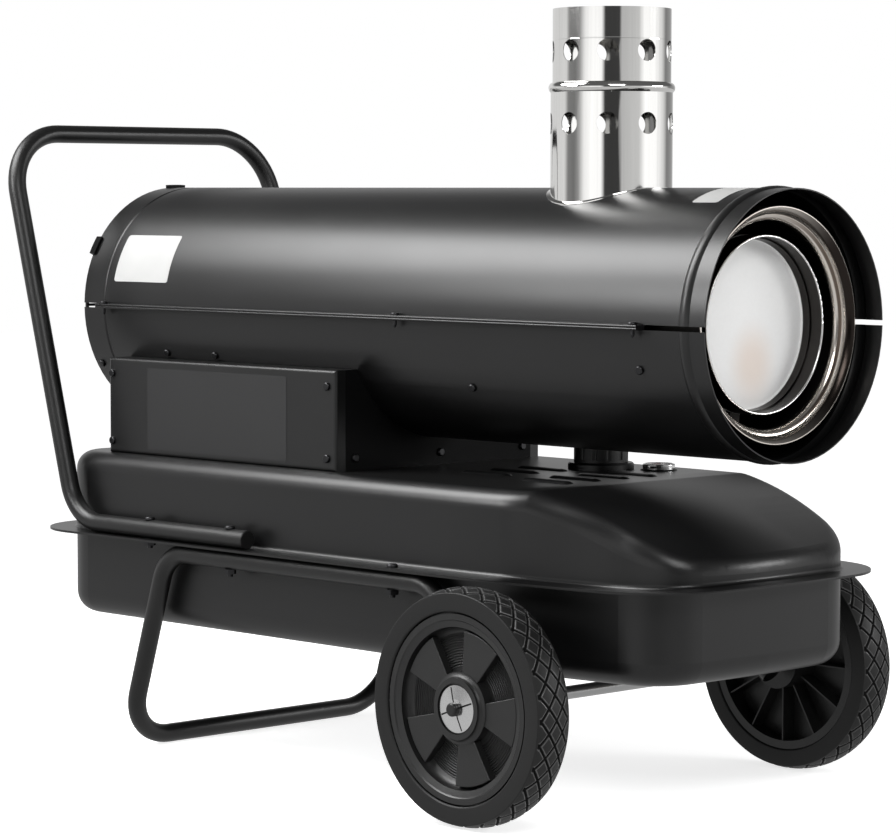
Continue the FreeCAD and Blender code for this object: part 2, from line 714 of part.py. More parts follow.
def flue_stub():
    """Short tube welded on the drum that carries the flue pipe."""
    centre = V(FLUE_X, 0, AXIS_Z)
    outer = Part.makeCylinder(STUB_RADIUS, STUB_TOP - AXIS_Z, centre)
    bore = Part.makeCylinder(STUB_RADIUS - DRUM_SHEET, 2 * (STUB_TOP - AXIS_Z), centre)
    drum = Part.makeCylinder(DRUM_RADIUS + FIT_GAP, BODY_LENGTH, V(BODY_REAR_X, 0, AXIS_Z), X_AXIS)
    return outer.cut(bore).cut(drum)


def combustion_drum():
    """Closed drum with a rolled rim, a stepped collar, a recessed front disc and a burner hole behind."""
    hole = BURNER_RADIUS + SEAT_GAP
    disc = DRUM_FRONT_X - DRUM_RECESS
    step = DRUM_FRONT_X - DRUM_COLLAR_DEPTH
    wall = DRUM_RADIUS - DRUM_SHEET
    collar = DRUM_RADIUS - DRUM_RIM
    throat = collar - DRUM_COLLAR_STEP
    rim = DRUM_FRONT_X - DRUM_RIM / 2
    outline = [
        (DRUM_REAR_X, hole), (DRUM_REAR_X, DRUM_RADIUS), (rim, DRUM_RADIUS),
        (DRUM_FRONT_X, DRUM_RADIUS - DRUM_RIM / 2, rim, collar), (step, collar), (step, throat),
        (disc, throat - DRUM_DISC_STEP), (disc, 0), (disc - DRUM_SHEET, 0), (disc - DRUM_SHEET, wall),
        (DRUM_REAR_X + DRUM_SHEET, wall), (DRUM_REAR_X + DRUM_SHEET, hole),
    ]
    drum = turned(outline, AXIS, X_AXIS, Z_AXIS)
    return drum.cut(Part.makeCylinder(STUB_RADIUS - DRUM_SHEET, 2 * DRUM_RADIUS, V(FLUE_X, 0, AXIS_Z)))


def inner_liner():
    """Thin tube between drum and casing, open at both ends, with the flue's hole."""
    front = RING_X - SEAT_GAP - RING_SHEET
    wall = LINER_RADIUS - LINER_SHEET
    outline = [(LINER_REAR_X, wall), (LINER_REAR_X, LINER_RADIUS), (front, LINER_RADIUS), (front, wall)]
    liner = turned(outline, AXIS, X_AXIS, Z_AXIS)
    return liner.cut(Part.makeCylinder(STUB_RADIUS + SEAT_GAP, 2 * LINER_RADIUS, V(FLUE_X, 0, AXIS_Z)))


def outlet_ring():
    """Ring of two rolled steps that narrows the outlet, its skirt pushed into the liner."""
    skirt = LINER_RADIUS - LINER_SHEET - SEAT_GAP
    heel = RING_X - RING_SHEET - RING_SKIRT
    brim = (RING_X, skirt)
    crease = (RING_X - RING_CREASE_DEPTH, skirt - RING_CREASE_WIDTH)
    lip = (RING_X - RING_LIP_DEPTH, skirt - RING_LIP_WIDTH)
    outline = [
        (RING_X - RING_SHEET, LINER_RADIUS), (RING_X, LINER_RADIUS), brim, bowed(brim, crease, RING_ROLL),
        bowed(crease, lip, RING_ROLL), (lip[0] - RING_SHEET, lip[1]),
        (lip[0] - RING_SHEET, lip[1] + RING_SHEET),
        (crease[0] - RING_SHEET, crease[1] + RING_SHEET), (crease[0] - RING_SHEET, skirt - RING_SHEET),
        (heel, skirt - RING_SHEET), (heel, skirt), (RING_X - RING_SHEET, skirt),
    ]
    return turned(outline, AXIS, X_AXIS, Z_AXIS)


def spacer_block(x, angle, inner, outer):
    """Small bracket that fills the gap between two round walls."""
    sleeve = Part.makeCylinder(outer, STANDOFF_LENGTH, V(x - STANDOFF_LENGTH / 2, 0, AXIS_Z), X_AXIS)
    core = Part.makeCylinder(inner, STANDOFF_LENGTH, V(x - STANDOFF_LENGTH / 2, 0, AXIS_Z), X_AXIS)
    strip = box(V(x - STANDOFF_LENGTH, -2 * outer, AXIS_Z - STANDOFF_WIDTH / 2),
                V(x + STANDOFF_LENGTH, 0, AXIS_Z + STANDOFF_WIDTH / 2))
    strip.rotate(AXIS, X_AXIS, -angle)
    return sleeve.cut(core).common(strip)


def liner_standoffs():
    """Brackets that hold the liner inside the casing, bored for the casing screws."""
    inner = LINER_RADIUS + SEAT_GAP
    outer = BODY_BORE - SEAT_GAP
    blocks = []
    rows = [(FRONT_STANDOFF_SET_BACK, FRONT_STANDOFF_ANGLE), (REAR_STANDOFF_SET_BACK, REAR_STANDOFF_ANGLE)]
    holes = Part.makeCompound([screw_hole(seat, -out) for seat, out in casing_screw_seats()])
    for set_back, angle in rows:
        for turn in (angle, 180 - angle):
            blocks.append(spacer_block(BODY_FRONT_X - set_back, turn, inner, outer).cut(holes))
    return blocks


def drum_brackets():
    """Brackets that hold the drum inside the liner."""
    inner = DRUM_RADIUS + SEAT_GAP
    outer = LINER_RADIUS - LINER_SHEET - SEAT_GAP
    blocks = []
    for set_back in (FRONT_STANDOFF_SET_BACK, REAR_STANDOFF_SET_BACK):
        for index in range(BRACKET_COUNT):
            turn = 360.0 * index / BRACKET_COUNT - 90.0
            blocks.append(spacer_block(BODY_FRONT_X - set_back, turn, inner, outer))
    return blocks


# Burner

def burner_tube():
    """Flanged air tube pushed through the drum's rear wall."""
    rear = DRUM_REAR_X - BURNER_REAR_LENGTH
    nose = DRUM_REAR_X + BURNER_NOSE_LENGTH
    wall = BURNER_RADIUS - BURNER_SHEET
    flange = DRUM_REAR_X - BURNER_FLANGE
    outline = [
        (rear, wall), (rear, BURNER_RADIUS), (flange, BURNER_RADIUS), (flange, BURNER_FLANGE_RADIUS),
        (DRUM_REAR_X, BURNER_FLANGE_RADIUS), (DRUM_REAR_X, BURNER_RADIUS),
        (nose, BURNER_RADIUS), (nose, wall),
    ]
    return turned(outline, AXIS, X_AXIS, Z_AXIS)


def electrode_tails():
    """Rear ends of the two electrodes, level with the burner tube's rear."""
    rear = DRUM_REAR_X - BURNER_REAR_LENGTH
    return [V(rear, side * ELECTRODE_PITCH / 2, AXIS_Z + ELECTRODE_RISE) for side in (-1, 1)]


def electrode_length():
    """Length of an electrode from its tail to the level of the nozzle's tip."""
    return BURNER_REAR_LENGTH + SWIRL_DEPTH + SWIRL_THICKNESS + NOZZLE_RADIUS


def swirl_disc():
    """Slotted disc in the burner's mouth that turns the air round the nozzle."""
    rear = DRUM_REAR_X + SWIRL_DEPTH
    rim = BURNER_RADIUS - BURNER_SHEET - SEAT_GAP
    bore = NOZZLE_RADIUS + SEAT_GAP
    disc = turned([(rear, bore), (rear, rim), (rear + SWIRL_THICKNESS, rim), (rear + SWIRL_THICKNESS, bore)],
                  AXIS, X_AXIS, Z_AXIS)
    slot_top = AXIS_Z + rim - SWIRL_SLOT_MARGIN
    slot = box(V(rear - SWIRL_THICKNESS, -SWIRL_SLOT_WIDTH / 2, slot_top - SWIRL_SLOT_LENGTH),
               V(rear + 2 * SWIRL_THICKNESS, SWIRL_SLOT_WIDTH / 2, slot_top))
    slots = spun(slot, SWIRL_SLOTS, AXIS, X_AXIS)
    pins = [Part.makeCylinder(ELECTRODE_RADIUS + SEAT_GAP, electrode_length(), start, X_AXIS)
            for start in electrode_tails()]
    return disc.cut(Part.makeCompound(slots + pins))


def nozzle_holder():
    """Fuel nozzle on its long holder, on the casing's axis."""
    tip = DRUM_REAR_X + SWIRL_DEPTH + SWIRL_THICKNESS + NOZZLE_RADIUS
    outline = [(NOZZLE_TAIL_X, 0), (NOZZLE_TAIL_X, NOZZLE_RADIUS), (tip - NOZZLE_RADIUS, NOZZLE_RADIUS),
               (tip, NOZZLE_TIP_RADIUS), (tip, 0)]
    return turned(outline, AXIS, X_AXIS, Z_AXIS)


def electrodes():
    length = electrode_length()
    return [Part.makeCylinder(ELECTRODE_RADIUS, length, start, X_AXIS) for start in electrode_tails()]


# Fan, motor and rear guard

def motor():
    """Round motor with a stepped rear bell, a blind bearing bore and a foot on the shelf."""
    rear = MOTOR_REAR_X
    front = rear + MOTOR_LENGTH
    bore = SHAFT_RADIUS + FIT_GAP
    chamfer = MOTOR_NECK / 2
    outline = [
        (rear, bore), (rear, MOTOR_NECK_RADIUS), (rear + MOTOR_NECK, MOTOR_NECK_RADIUS),
        (rear + MOTOR_NECK, MOTOR_RADIUS - chamfer), (rear + MOTOR_NECK + chamfer, MOTOR_RADIUS),
        (front - chamfer, MOTOR_RADIUS), (front, MOTOR_RADIUS - chamfer), (front, 0),
        (rear + SHAFT_BEARING, 0), (rear + SHAFT_BEARING, bore),
    ]
    foot_half = MOTOR_RADIUS / 2
    foot = box(V(rear + 2 * MOTOR_NECK, -foot_half, SHELF_Z + SHELF_SHEET),
               V(front - MOTOR_NECK, foot_half, AXIS_Z - foot_half))
    return joined(turned(outline, AXIS, X_AXIS, Z_AXIS), foot)


def motor_shelf():
    """Shelf across the casing whose curved flanges are screwed to the lower half."""
    reach = BODY_BORE - SEAT_GAP
    half = math.sqrt(reach ** 2 - SHELF_DROP ** 2) - SHELF_SHEET
    front = SHELF_REAR_X + SHELF_LENGTH
    plate = box(V(SHELF_REAR_X, -half, SHELF_Z), V(front, half, SHELF_Z + SHELF_SHEET))
    outer = Part.makeCylinder(reach, SHELF_LENGTH, V(SHELF_REAR_X, 0, AXIS_Z), X_AXIS)
    inner = Part.makeCylinder(reach - SHELF_SHEET, SHELF_LENGTH, V(SHELF_REAR_X, 0, AXIS_Z), X_AXIS)
    band = box(V(SHELF_REAR_X, -reach, SHELF_Z - SHELF_FLANGE / 2),
               V(front, reach, SHELF_Z + SHELF_FLANGE / 2))
    flanges = outer.cut(inner).common(band)
    holes = Part.makeCompound([screw_hole(seat, -out) for seat, out in casing_screw_seats()])
    return joined(plate, *flanges.Solids).cut(holes)


def motor_shaft():
    start = FAN_REAR_X - SHAFT_RADIUS
    length = MOTOR_REAR_X + SHAFT_BEARING - MOVE_GAP - start
    return Part.makeCylinder(SHAFT_RADIUS, length, V(start, 0, AXIS_Z), X_AXIS)


def blade_section(radius, chord, pitch):
    """Thin four-sided blade section lying across the radius at a pitch angle."""
    turn = math.radians(pitch)
    along = V(math.cos(turn), math.sin(turn), 0) * (chord / 2)
    across = V(-math.sin(turn), math.cos(turn), 0) * (BLADE_THICKNESS / 2)
    middle = V(FAN_REAR_X + FAN_HUB_LENGTH / 2, 0, AXIS_Z + radius)
    corners = [middle + along + across, middle - along + across,
               middle - along - across, middle + along - across]
    return Part.makePolygon(corners + corners[:1])


def fan():
    """Axial fan with twisted, widening blades on a domed hub."""
    bore = SHAFT_RADIUS + FIT_GAP
    front = FAN_REAR_X + FAN_HUB_LENGTH
    brow = (FAN_REAR_X, FAN_HUB_RADIUS - FAN_HUB_EDGE)
    rim = (FAN_REAR_X + FAN_HUB_EDGE, FAN_HUB_RADIUS)
    outline = [(FAN_REAR_X, bore), brow, bowed(brow, rim, FAN_HUB_EDGE * ROUND_SAG), (front, FAN_HUB_RADIUS),
               (front, bore)]
    hub = turned(outline, AXIS, X_AXIS, Z_AXIS)
    root = blade_section(FAN_HUB_RADIUS - BLADE_BITE, BLADE_ROOT_CHORD, BLADE_ROOT_PITCH)
    middle = blade_section((FAN_HUB_RADIUS + FAN_RADIUS) / 2, (BLADE_ROOT_CHORD + BLADE_TIP_CHORD) / 2,
                           (BLADE_ROOT_PITCH + BLADE_TIP_PITCH) / 2)
    tip = blade_section(FAN_RADIUS, BLADE_TIP_CHORD, BLADE_TIP_PITCH)
    blade = outward(Part.makeLoft([root, middle, tip], True, True))
    return joined(hub, *spun(blade, FAN_BLADES, AXIS, X_AXIS))


def guard_ring(radius):
    """One round of the guard in square wire."""
    rear = BODY_REAR_X + SEAT_GAP
    low = radius - GUARD_WIRE / 2
    high = radius + GUARD_WIRE / 2
    outline = [(rear, low), (rear, high), (rear + GUARD_WIRE, high), (rear + GUARD_WIRE, low)]
    return turned(outline, AXIS, X_AXIS, Z_AXIS)


def rear_guard():
    """Inlet guard of concentric rounds on radial wires."""
    outer = BODY_BORE - SEAT_GAP - GUARD_WIRE / 2
    pitch = (outer - GUARD_INNER_RADIUS) / (GUARD_RINGS - 1)
    rings = [guard_ring(GUARD_INNER_RADIUS + pitch * index) for index in range(GUARD_RINGS)]
    rear = BODY_REAR_X + SEAT_GAP
    wire = box(V(rear, -GUARD_WIRE / 2, AXIS_Z + GUARD_INNER_RADIUS),
               V(rear + GUARD_WIRE, GUARD_WIRE / 2, AXIS_Z + outer))
    return joined(rings[0], *rings[1:], *spun(wire, GUARD_SPOKES, AXIS, X_AXIS))


def guard_hooks():
    """Folded hooks on the upper half that grip the rear rim and hold the guard."""
    hooks = []
    rear = BODY_REAR_X - HOOK_THICKNESS
    outer = BODY_RADIUS + SEAT_GAP + HOOK_THICKNESS
    inner = BODY_BORE - 2 * GUARD_WIRE
    block = Part.makeCylinder(outer, HOOK_LENGTH, V(rear, 0, AXIS_Z), X_AXIS)
    core = Part.makeCylinder(inner, HOOK_LENGTH, V(rear, 0, AXIS_Z), X_AXIS)
    seat = V(BODY_REAR_X - SEAT_GAP, 0, AXIS_Z)
    rim = Part.makeCylinder(BODY_RADIUS + SEAT_GAP, HOOK_LENGTH, seat, X_AXIS)
    for angle in (90.0 - HOOK_SPREAD, 90.0, 90.0 + HOOK_SPREAD):
        strip = box(V(rear, -2 * outer, AXIS_Z - HOOK_WIDTH / 2),
                    V(rear + HOOK_LENGTH, 0, AXIS_Z + HOOK_WIDTH / 2))
        strip.rotate(AXIS, X_AXIS, -angle)
        hooks.append(block.cut(core).cut(rim).common(strip))
    return hooks


# Control box

def box_tray():
    """Folded tray: floor, front wall and rear wall with saddles for the casing."""
    half = BOX_HALF_WIDTH - BOX_RETURN - SEAT_GAP
    floor = box(V(BOX_REAR_X, -half, TANK_TOP), V(BOX_FRONT_X, half, BOX_FLOOR))
    front = box(V(BOX_FRONT_X - BOX_SHEET, -half, TANK_TOP), V(BOX_FRONT_X, half, BOX_TOP))
    rear = box(V(BOX_REAR_X, -half, TANK_TOP), V(BOX_REAR_X + BOX_SHEET, half, BOX_TOP))
    tray = joined(floor, front, rear)
    saddle = Part.makeCylinder(BODY_RADIUS + SEAT_GAP, BODY_LENGTH, V(BODY_REAR_X, 0, AXIS_Z), X_AXIS)
    suction = Part.makeCylinder(PIPE_RADIUS + SEAT_GAP, BOX_HEIGHT, suction_foot() - Z_AXIS * BOX_HEIGHT / 2)
    holes = [screw_hole(seat, -out) for seat, out in tray_screw_seats()]
    return tray.cut(Part.makeCompound([saddle, suction] + holes))


def side_cover():
    """Right side cover: folded edges all round and a ledge that meets the casing."""
    face_y = -BOX_HALF_WIDTH
    pan = box(V(BOX_REAR_X, face_y, TANK_TOP), V(BOX_FRONT_X, face_y + BOX_RETURN, BOX_TOP))
    rims = [edge for edge in pan.Edges if abs(edge.CenterOfMass.y - face_y) < FIT_GAP]
    pan = pan.makeFillet(BOX_EDGE_RADIUS, rims)
    hollow = box(V(BOX_REAR_X + BOX_SHEET, face_y + BOX_SHEET, TANK_TOP + BOX_SHEET),
                 V(BOX_FRONT_X - BOX_SHEET, face_y + 2 * BOX_RETURN, BOX_TOP - BOX_SHEET))
    ledge_y = math.sqrt(BODY_RADIUS ** 2 - BODY_RISE ** 2) + LEDGE_GAP
    ledge = box(V(BOX_REAR_X, face_y + BOX_RETURN / 2, BOX_TOP - BOX_SHEET),
                V(BOX_FRONT_X, -ledge_y, BOX_TOP))
    walls = [box(V(x, face_y + BOX_RETURN, BOX_TOP - 2 * BOX_SHEET), V(x + BOX_SHEET, 0, BOX_TOP))
             for x in (BOX_REAR_X, BOX_FRONT_X - BOX_SHEET)]
    holes = [screw_hole(seat, -out) for seat, out in cover_screw_seats()]
    ledge = ledge.cut(Part.makeCompound(walls))
    return joined(pan.cut(hollow), ledge).cut(Part.makeCompound(holes))


def cover_screw_seats():
    """Head seats of the four corner screws of the right side cover."""
    seats = []
    for x in (BOX_REAR_X + BOX_SCREW_EDGE, BOX_FRONT_X - BOX_SCREW_MARGIN):
        for z in (TANK_TOP + BOX_SCREW_MARGIN, BOX_TOP - BOX_SCREW_DROP):
            seats.append((V(x, -BOX_HALF_WIDTH, z), V(0, -1, 0)))
    return seats


def tray_screw_seats():
    """Head seats of the screws low on the tray's front wall."""
    half = BOX_HALF_WIDTH - BOX_RETURN - BOX_SCREW_MARGIN
    return [(V(BOX_FRONT_X, y, TANK_TOP + BOX_SCREW_MARGIN), X_AXIS) for y in (-half, 0, half)]


def right_side_cover():
    return side_cover()


def left_side_cover():
    """Left side cover, pierced for the knob's spindle, the rocker's frame and the cord gland."""
    reach = 2 * BOX_RETURN
    spindle = Part.makeCylinder(SPINDLE_RADIUS + FIT_GAP, reach, KNOB_CENTRE - Y_AXIS * reach / 2, Y_AXIS)
    window = rocker_window(reach)
    gland = Part.makeCylinder(GLAND_NECK_RADIUS + SEAT_GAP, reach, GLAND_CENTRE - Y_AXIS * reach / 2, Y_AXIS)
    return mirrored(side_cover()).cut(Part.makeCompound([spindle, window, gland]))


def box_screws():
    right = [screw(seat, -out, CASING_SCREW_LENGTH) for seat, out in cover_screw_seats()]
    front = [screw(seat, -out, CASING_SCREW_LENGTH) for seat, out in tray_screw_seats()]
    return right + [mirrored(piece) for piece in right] + front


# Controls on the left cover and parts inside the box

def fluted(solid, count, radius, flute, centre, axis, span):
    """A knob or cap with rounded flutes cut round its rim over a span of its height."""
    side = X_AXIS * (radius + flute * FLUTE_OFFSET)
    tool = Part.makeCylinder(flute, span[1] - span[0], centre + side + axis * span[0], axis)
    return solid.cut(Part.makeCompound(spun(tool, count, centre, axis)))


def thermostat_knob():
    """Fluted knob with a turned spindle that runs in the cover."""
    base = MOVE_GAP
    top = base + KNOB_HEIGHT
    outline = [
        (-BOX_RETURN, 0), (-BOX_RETURN, SPINDLE_RADIUS), (base, SPINDLE_RADIUS), (base, KNOB_RADIUS),
        (top - KNOB_EDGE, KNOB_RADIUS - KNOB_TAPER), (top, KNOB_TOP_RADIUS), (top, 0),
    ]
    knob = turned(outline, KNOB_CENTRE, Y_AXIS, Z_AXIS)
    span = (base + KNOB_FLUTE_FOOT, top + KNOB_EDGE)
    return fluted(knob, KNOB_FLUTES, KNOB_RADIUS, KNOB_FLUTE_RADIUS, KNOB_CENTRE, Y_AXIS, span)


def rocker_window(depth):
    """Opening in the cover that takes the rocker's frame."""
    lip = ROCKER_FRAME - ROCKER_FRAME_LIP
    half = V(ROCKER_LENGTH / 2 + lip, 0, ROCKER_RADIUS + lip)
    return box(ROCKER_CENTRE - half - Y_AXIS * depth / 2, ROCKER_CENTRE + half + Y_AXIS * depth / 2)


def rocker_frame():
    """Bezel snapped into the cover, open for the rocker."""
    half = V(ROCKER_LENGTH / 2 + ROCKER_FRAME, 0, ROCKER_RADIUS + ROCKER_FRAME)
    bezel = box(ROCKER_CENTRE - half + Y_AXIS * SEAT_GAP,
                ROCKER_CENTRE + half + Y_AXIS * (ROCKER_FRAME_RISE + SEAT_GAP))
    inner = half - V(1, 0, 1) * (ROCKER_FRAME_LIP + SEAT_GAP)
    body = box(ROCKER_CENTRE - inner - Y_AXIS * BOX_RETURN, ROCKER_CENTRE + inner + Y_AXIS)
    opening = V(ROCKER_LENGTH / 2 + MOVE_GAP, 0, ROCKER_RADIUS + MOVE_GAP)
    hole = box(ROCKER_CENTRE - opening - Y_AXIS * 2 * BOX_RETURN,
               ROCKER_CENTRE + opening + Y_AXIS * BOX_RETURN)
    pins = Part.makeCylinder(ROCKER_PIN_RADIUS + FIT_GAP, 4 * ROCKER_LENGTH,
                             ROCKER_HINGE - X_AXIS * 2 * ROCKER_LENGTH, X_AXIS)
    return joined(bezel, body).cut(hole).cut(pins)


def power_rocker():
    """Rocker with two paddle faces, turned about pins in its frame."""
    length = ROCKER_LENGTH
    start = ROCKER_HINGE - X_AXIS * length / 2
    drum = Part.makeCylinder(ROCKER_RADIUS, length, start, X_AXIS)
    reach = 2 * ROCKER_RADIUS
    slab = box(start + V(0, ROCKER_SINK + ROCKER_FRAME_RISE, -reach), start + V(length, reach, reach))
    faces = []
    for turn in (-ROCKER_TILT, ROCKER_TILT):
        face = slab.copy()
        face.rotate(ROCKER_HINGE + Y_AXIS * (ROCKER_SINK + ROCKER_FRAME_RISE), X_AXIS, turn)
        faces.append(face)
    under = box(start - V(0, reach, reach), start + V(length, -ROCKER_RADIUS / 3, reach))
    paddle = drum.cut(faces[0].common(faces[1])).cut(under)
    pin_length = length + 2 * ROCKER_FRAME - 4 * MOVE_GAP
    pin = Part.makeCylinder(ROCKER_PIN_RADIUS, pin_length, ROCKER_HINGE - X_AXIS * pin_length / 2, X_AXIS)
    paddle = joined(paddle, pin)
    paddle.rotate(ROCKER_HINGE, X_AXIS, ROCKER_TILT / 2)
    return paddle


def cord_gland():
    """Domed gland with an open bore and a nut behind the cover."""
    nut = -BOX_SHEET - SEAT_GAP
    back = nut - GLAND_NUT
    outline = [
        (back, GLAND_BORE), (back, GLAND_RADIUS), (nut, GLAND_RADIUS), (nut, GLAND_NECK_RADIUS),
        (SEAT_GAP, GLAND_NECK_RADIUS), (SEAT_GAP, GLAND_RADIUS), (GLAND_SKIRT, GLAND_RADIUS),
        (GLAND_WAIST, GLAND_WAIST_RADIUS), (GLAND_LENGTH, GLAND_TIP_RADIUS), (GLAND_LENGTH, GLAND_BORE),
    ]
    return turned(outline, GLAND_CENTRE, Y_AXIS, Z_AXIS)


def control_board():
    """Circuit board on four posts behind the left cover, open round the controls."""
    front = BOX_FRONT_X - BOX_RETURN
    low = BOX_FLOOR + BOARD_MARGIN
    plate_y = COVER_INNER_Y - BOARD_STANDOFF
    back_y = plate_y - BOARD_THICKNESS
    plate = box(V(front - BOARD_LENGTH, back_y, low), V(front, plate_y, low + BOARD_HEIGHT))
    length = BOARD_STANDOFF + BOARD_THICKNESS - SEAT_GAP
    posts = []
    for x in (front - BOARD_MARGIN, front - BOARD_LENGTH + BOARD_MARGIN):
        for z in (low + BOARD_MARGIN, low + BOARD_HEIGHT - BOARD_MARGIN):
            posts.append(Part.makeCylinder(BOARD_POST_RADIUS, length, V(x, back_y, z), Y_AXIS))
    return joined(plate, *posts)


def fuel_pump():
    """Round solenoid pump with a stem at each end, on a foot screwed to the tray."""
    rear = -PUMP_LENGTH
    outline = [
        (rear - PUMP_STEM, 0), (rear - PUMP_STEM, PUMP_STEM_RADIUS), (rear, PUMP_STEM_RADIUS),
        (rear, PUMP_SHOULDER_RADIUS), (rear + PUMP_SHOULDER, PUMP_RADIUS), (-PUMP_SHOULDER, PUMP_RADIUS),
        (0, PUMP_SHOULDER_RADIUS), (0, PUMP_STEM_RADIUS), (PUMP_STEM, PUMP_STEM_RADIUS), (PUMP_STEM, 0),
    ]
    half = PUMP_SHOULDER_RADIUS
    foot = box(V(PUMP_FRONT.x - PUMP_LENGTH + PUMP_FOOT_MARGIN, PUMP_Y - half, BOX_FLOOR),
               V(PUMP_FRONT.x - PUMP_FOOT_MARGIN, PUMP_Y + half, PUMP_FRONT.z - half))
    return joined(turned(outline, PUMP_FRONT, X_AXIS, Z_AXIS), foot)


def delivery_x():
    """Place of the upright stretch of the delivery pipe, under the nozzle's tail."""
    return NOZZLE_TAIL_X + 2 * PIPE_RADIUS


def delivery_pipe():
    """Copper pipe from the pump's rear stem up through the casing to the nozzle."""
    start = PUMP_FRONT - X_AXIS * (PUMP_LENGTH + PUMP_STEM + SEAT_GAP)
    turn = V(delivery_x(), start.y, start.z)
    below = V(delivery_x(), 0, BOX_FLOOR + PIPE_RADIUS + PIPE_FLOOR_GAP)
    end = V(delivery_x(), 0, AXIS_Z - NOZZLE_RADIUS - SEAT_GAP)
    return rod(bent_path([start, turn, below, end], [PIPE_BEND / 2, PIPE_BEND]), start, -X_AXIS, PIPE_RADIUS)


def suction_foot():
    """Point where the suction pipe passes the tray's floor."""
    return V(PUMP_FRONT.x + PUMP_STEM + 2 * PIPE_BEND, PUMP_Y, TANK_TOP)


def suction_pipe():
    """Pipe from the tank up to the pump's front stem, its end in the strainer."""
    start = PUMP_FRONT + X_AXIS * (PUMP_STEM + SEAT_GAP)
    corner = V(suction_foot().x, PUMP_Y, PUMP_FRONT.z)
    end = V(corner.x, PUMP_Y, PAN_CLEARANCE + SUCTION_FLOOR_GAP + STRAINER_LENGTH)
    return rod(bent_path([start, corner, end], [PIPE_BEND]), start, X_AXIS, PIPE_RADIUS)


def fuel_strainer():
    foot = V(suction_foot().x, PUMP_Y, PAN_CLEARANCE + SUCTION_FLOOR_GAP)
    bore = PIPE_RADIUS + FIT_GAP
    stop = STRAINER_LENGTH - SEAT_GAP
    mouth = STRAINER_LENGTH + STRAINER_SOCKET
    outline = [(0, 0), (0, STRAINER_RADIUS), (STRAINER_LENGTH, STRAINER_RADIUS),
               (mouth, bore + STRAINER_NECK),
               (mouth, bore), (stop, bore), (stop, 0)]
    return turned(outline, foot, Z_AXIS, X_AXIS)


def ignition_transformer():
    front = BOX_FRONT_X - TRANSFORMER_SET_BACK
    outer = -(COVER_INNER_Y - BOX_RETURN)
    block = box(V(front - TRANSFORMER_LENGTH, outer, BOX_FLOOR),
                V(front, outer + TRANSFORMER_WIDTH, BOX_FLOOR + TRANSFORMER_HEIGHT))
    upright = [edge for edge in block.Edges if abs(edge.tangentAt(edge.FirstParameter).z) > 0.9]
    return block.makeFillet(TRANSFORMER_EDGE, upright)


# Fuel tank

def tank_outline(inset, z):
    """Plan of the tank, offset inwards: sides drawn in towards a bowed front, rounded corners."""
    side = V(TANK_FRONT_X - TANK_TAPER_LENGTH, TANK_HALF_WIDTH - TANK_SIDE_BOW_RADIUS, 0)
    bow = V(TANK_FRONT_X - TANK_FRONT_BOW_RADIUS, 0, 0)
    across = bow - side
    side_reach = TANK_SIDE_BOW_RADIUS - TANK_FRONT_CORNER
    bow_reach = TANK_FRONT_BOW_RADIUS - TANK_FRONT_CORNER
    along = (across.Length ** 2 + side_reach ** 2 - bow_reach ** 2) / (2 * across.Length)
    ahead = V(across.y, -across.x, 0).normalize()
    nose = side + across.normalize() * along + ahead * math.sqrt(side_reach ** 2 - along ** 2)
    nose_start = math.atan2(nose.y, nose.x - bow.x)
    nose_end = math.atan2(nose.y - side.y, nose.x - side.x)
    tail = V(TANK_REAR_X + TANK_REAR_CORNER, TANK_HALF_WIDTH - TANK_REAR_CORNER, 0)
    quarter = math.pi / 2
    bends = [(bow, TANK_FRONT_BOW_RADIUS, 0, nose_start), (nose, TANK_FRONT_CORNER, nose_start, nose_end),
             (side, TANK_SIDE_BOW_RADIUS, nose_end, quarter), (tail, TANK_REAR_CORNER, quarter, 2 * quarter)]
    edges = []
    for centre, radius, start, end in bends:
        turns = (start, (start + end) / 2, end)
        points = [centre + V(math.cos(turn), math.sin(turn), 0) * (radius - inset) for turn in turns]
        if edges and edges[-1].EndPoint.distanceToPoint(points[0]) > FIT_GAP:
            edges.append(Part.LineSegment(edges[-1].EndPoint, points[0]))
        edges.append(Part.Arc(*points))
    edges.append(Part.LineSegment(edges[-1].EndPoint, V(edges[-1].EndPoint.x, 0, 0)))
    half = Part.Wire([edge.toShape() for edge in edges])
    plan = Part.Face(Part.Wire(half.Edges + mirrored(half).Edges))
    plan.translate(Z_AXIS * z)
    return plan


def flange_sheet(low):
    """One sheet of the tank's flange, open inside the wall."""
    ring = tank_outline(-FLANGE_OVERHANG, low).cut(tank_outline(TANK_SHEET, low))
    return ring.extrude(Z_AXIS * TANK_SHEET)


def slope_cutter(inset):
    """Space above the curved slope, with the place where the slope leaves the top."""
    top = TANK_TOP - inset
    start = math.radians(SLOPE_ANGLE)
    radius = SLOPE_RADIUS - inset
    brow = V(BROW_X, 0, TANK_TOP)
    pivot = brow - V(math.sin(start), 0, math.cos(start)) * SLOPE_RADIUS
    leave = math.acos((top - pivot.z) / radius)
    finish = math.asin((TANK_FRONT_X + TANK_SHEET - pivot.x) / radius)
    crest, middle, foot = [pivot + V(math.sin(turn), 0, math.cos(turn)) * radius
                           for turn in (leave, (leave + finish) / 2, finish)]
    above = V(foot.x, 0, top + TANK_CROWN)
    back = V(crest.x, 0, top + TANK_CROWN)
    edges = [Part.Arc(crest, middle, foot), Part.LineSegment(foot, above), Part.LineSegment(above, back),
             Part.LineSegment(back, crest)]
    face = Part.Face(Part.Wire([edge.toShape() for edge in edges]))
    face.translate(-Y_AXIS * 2 * TANK_HALF_WIDTH)
    return face.extrude(Y_AXIS * 4 * TANK_HALF_WIDTH), crest


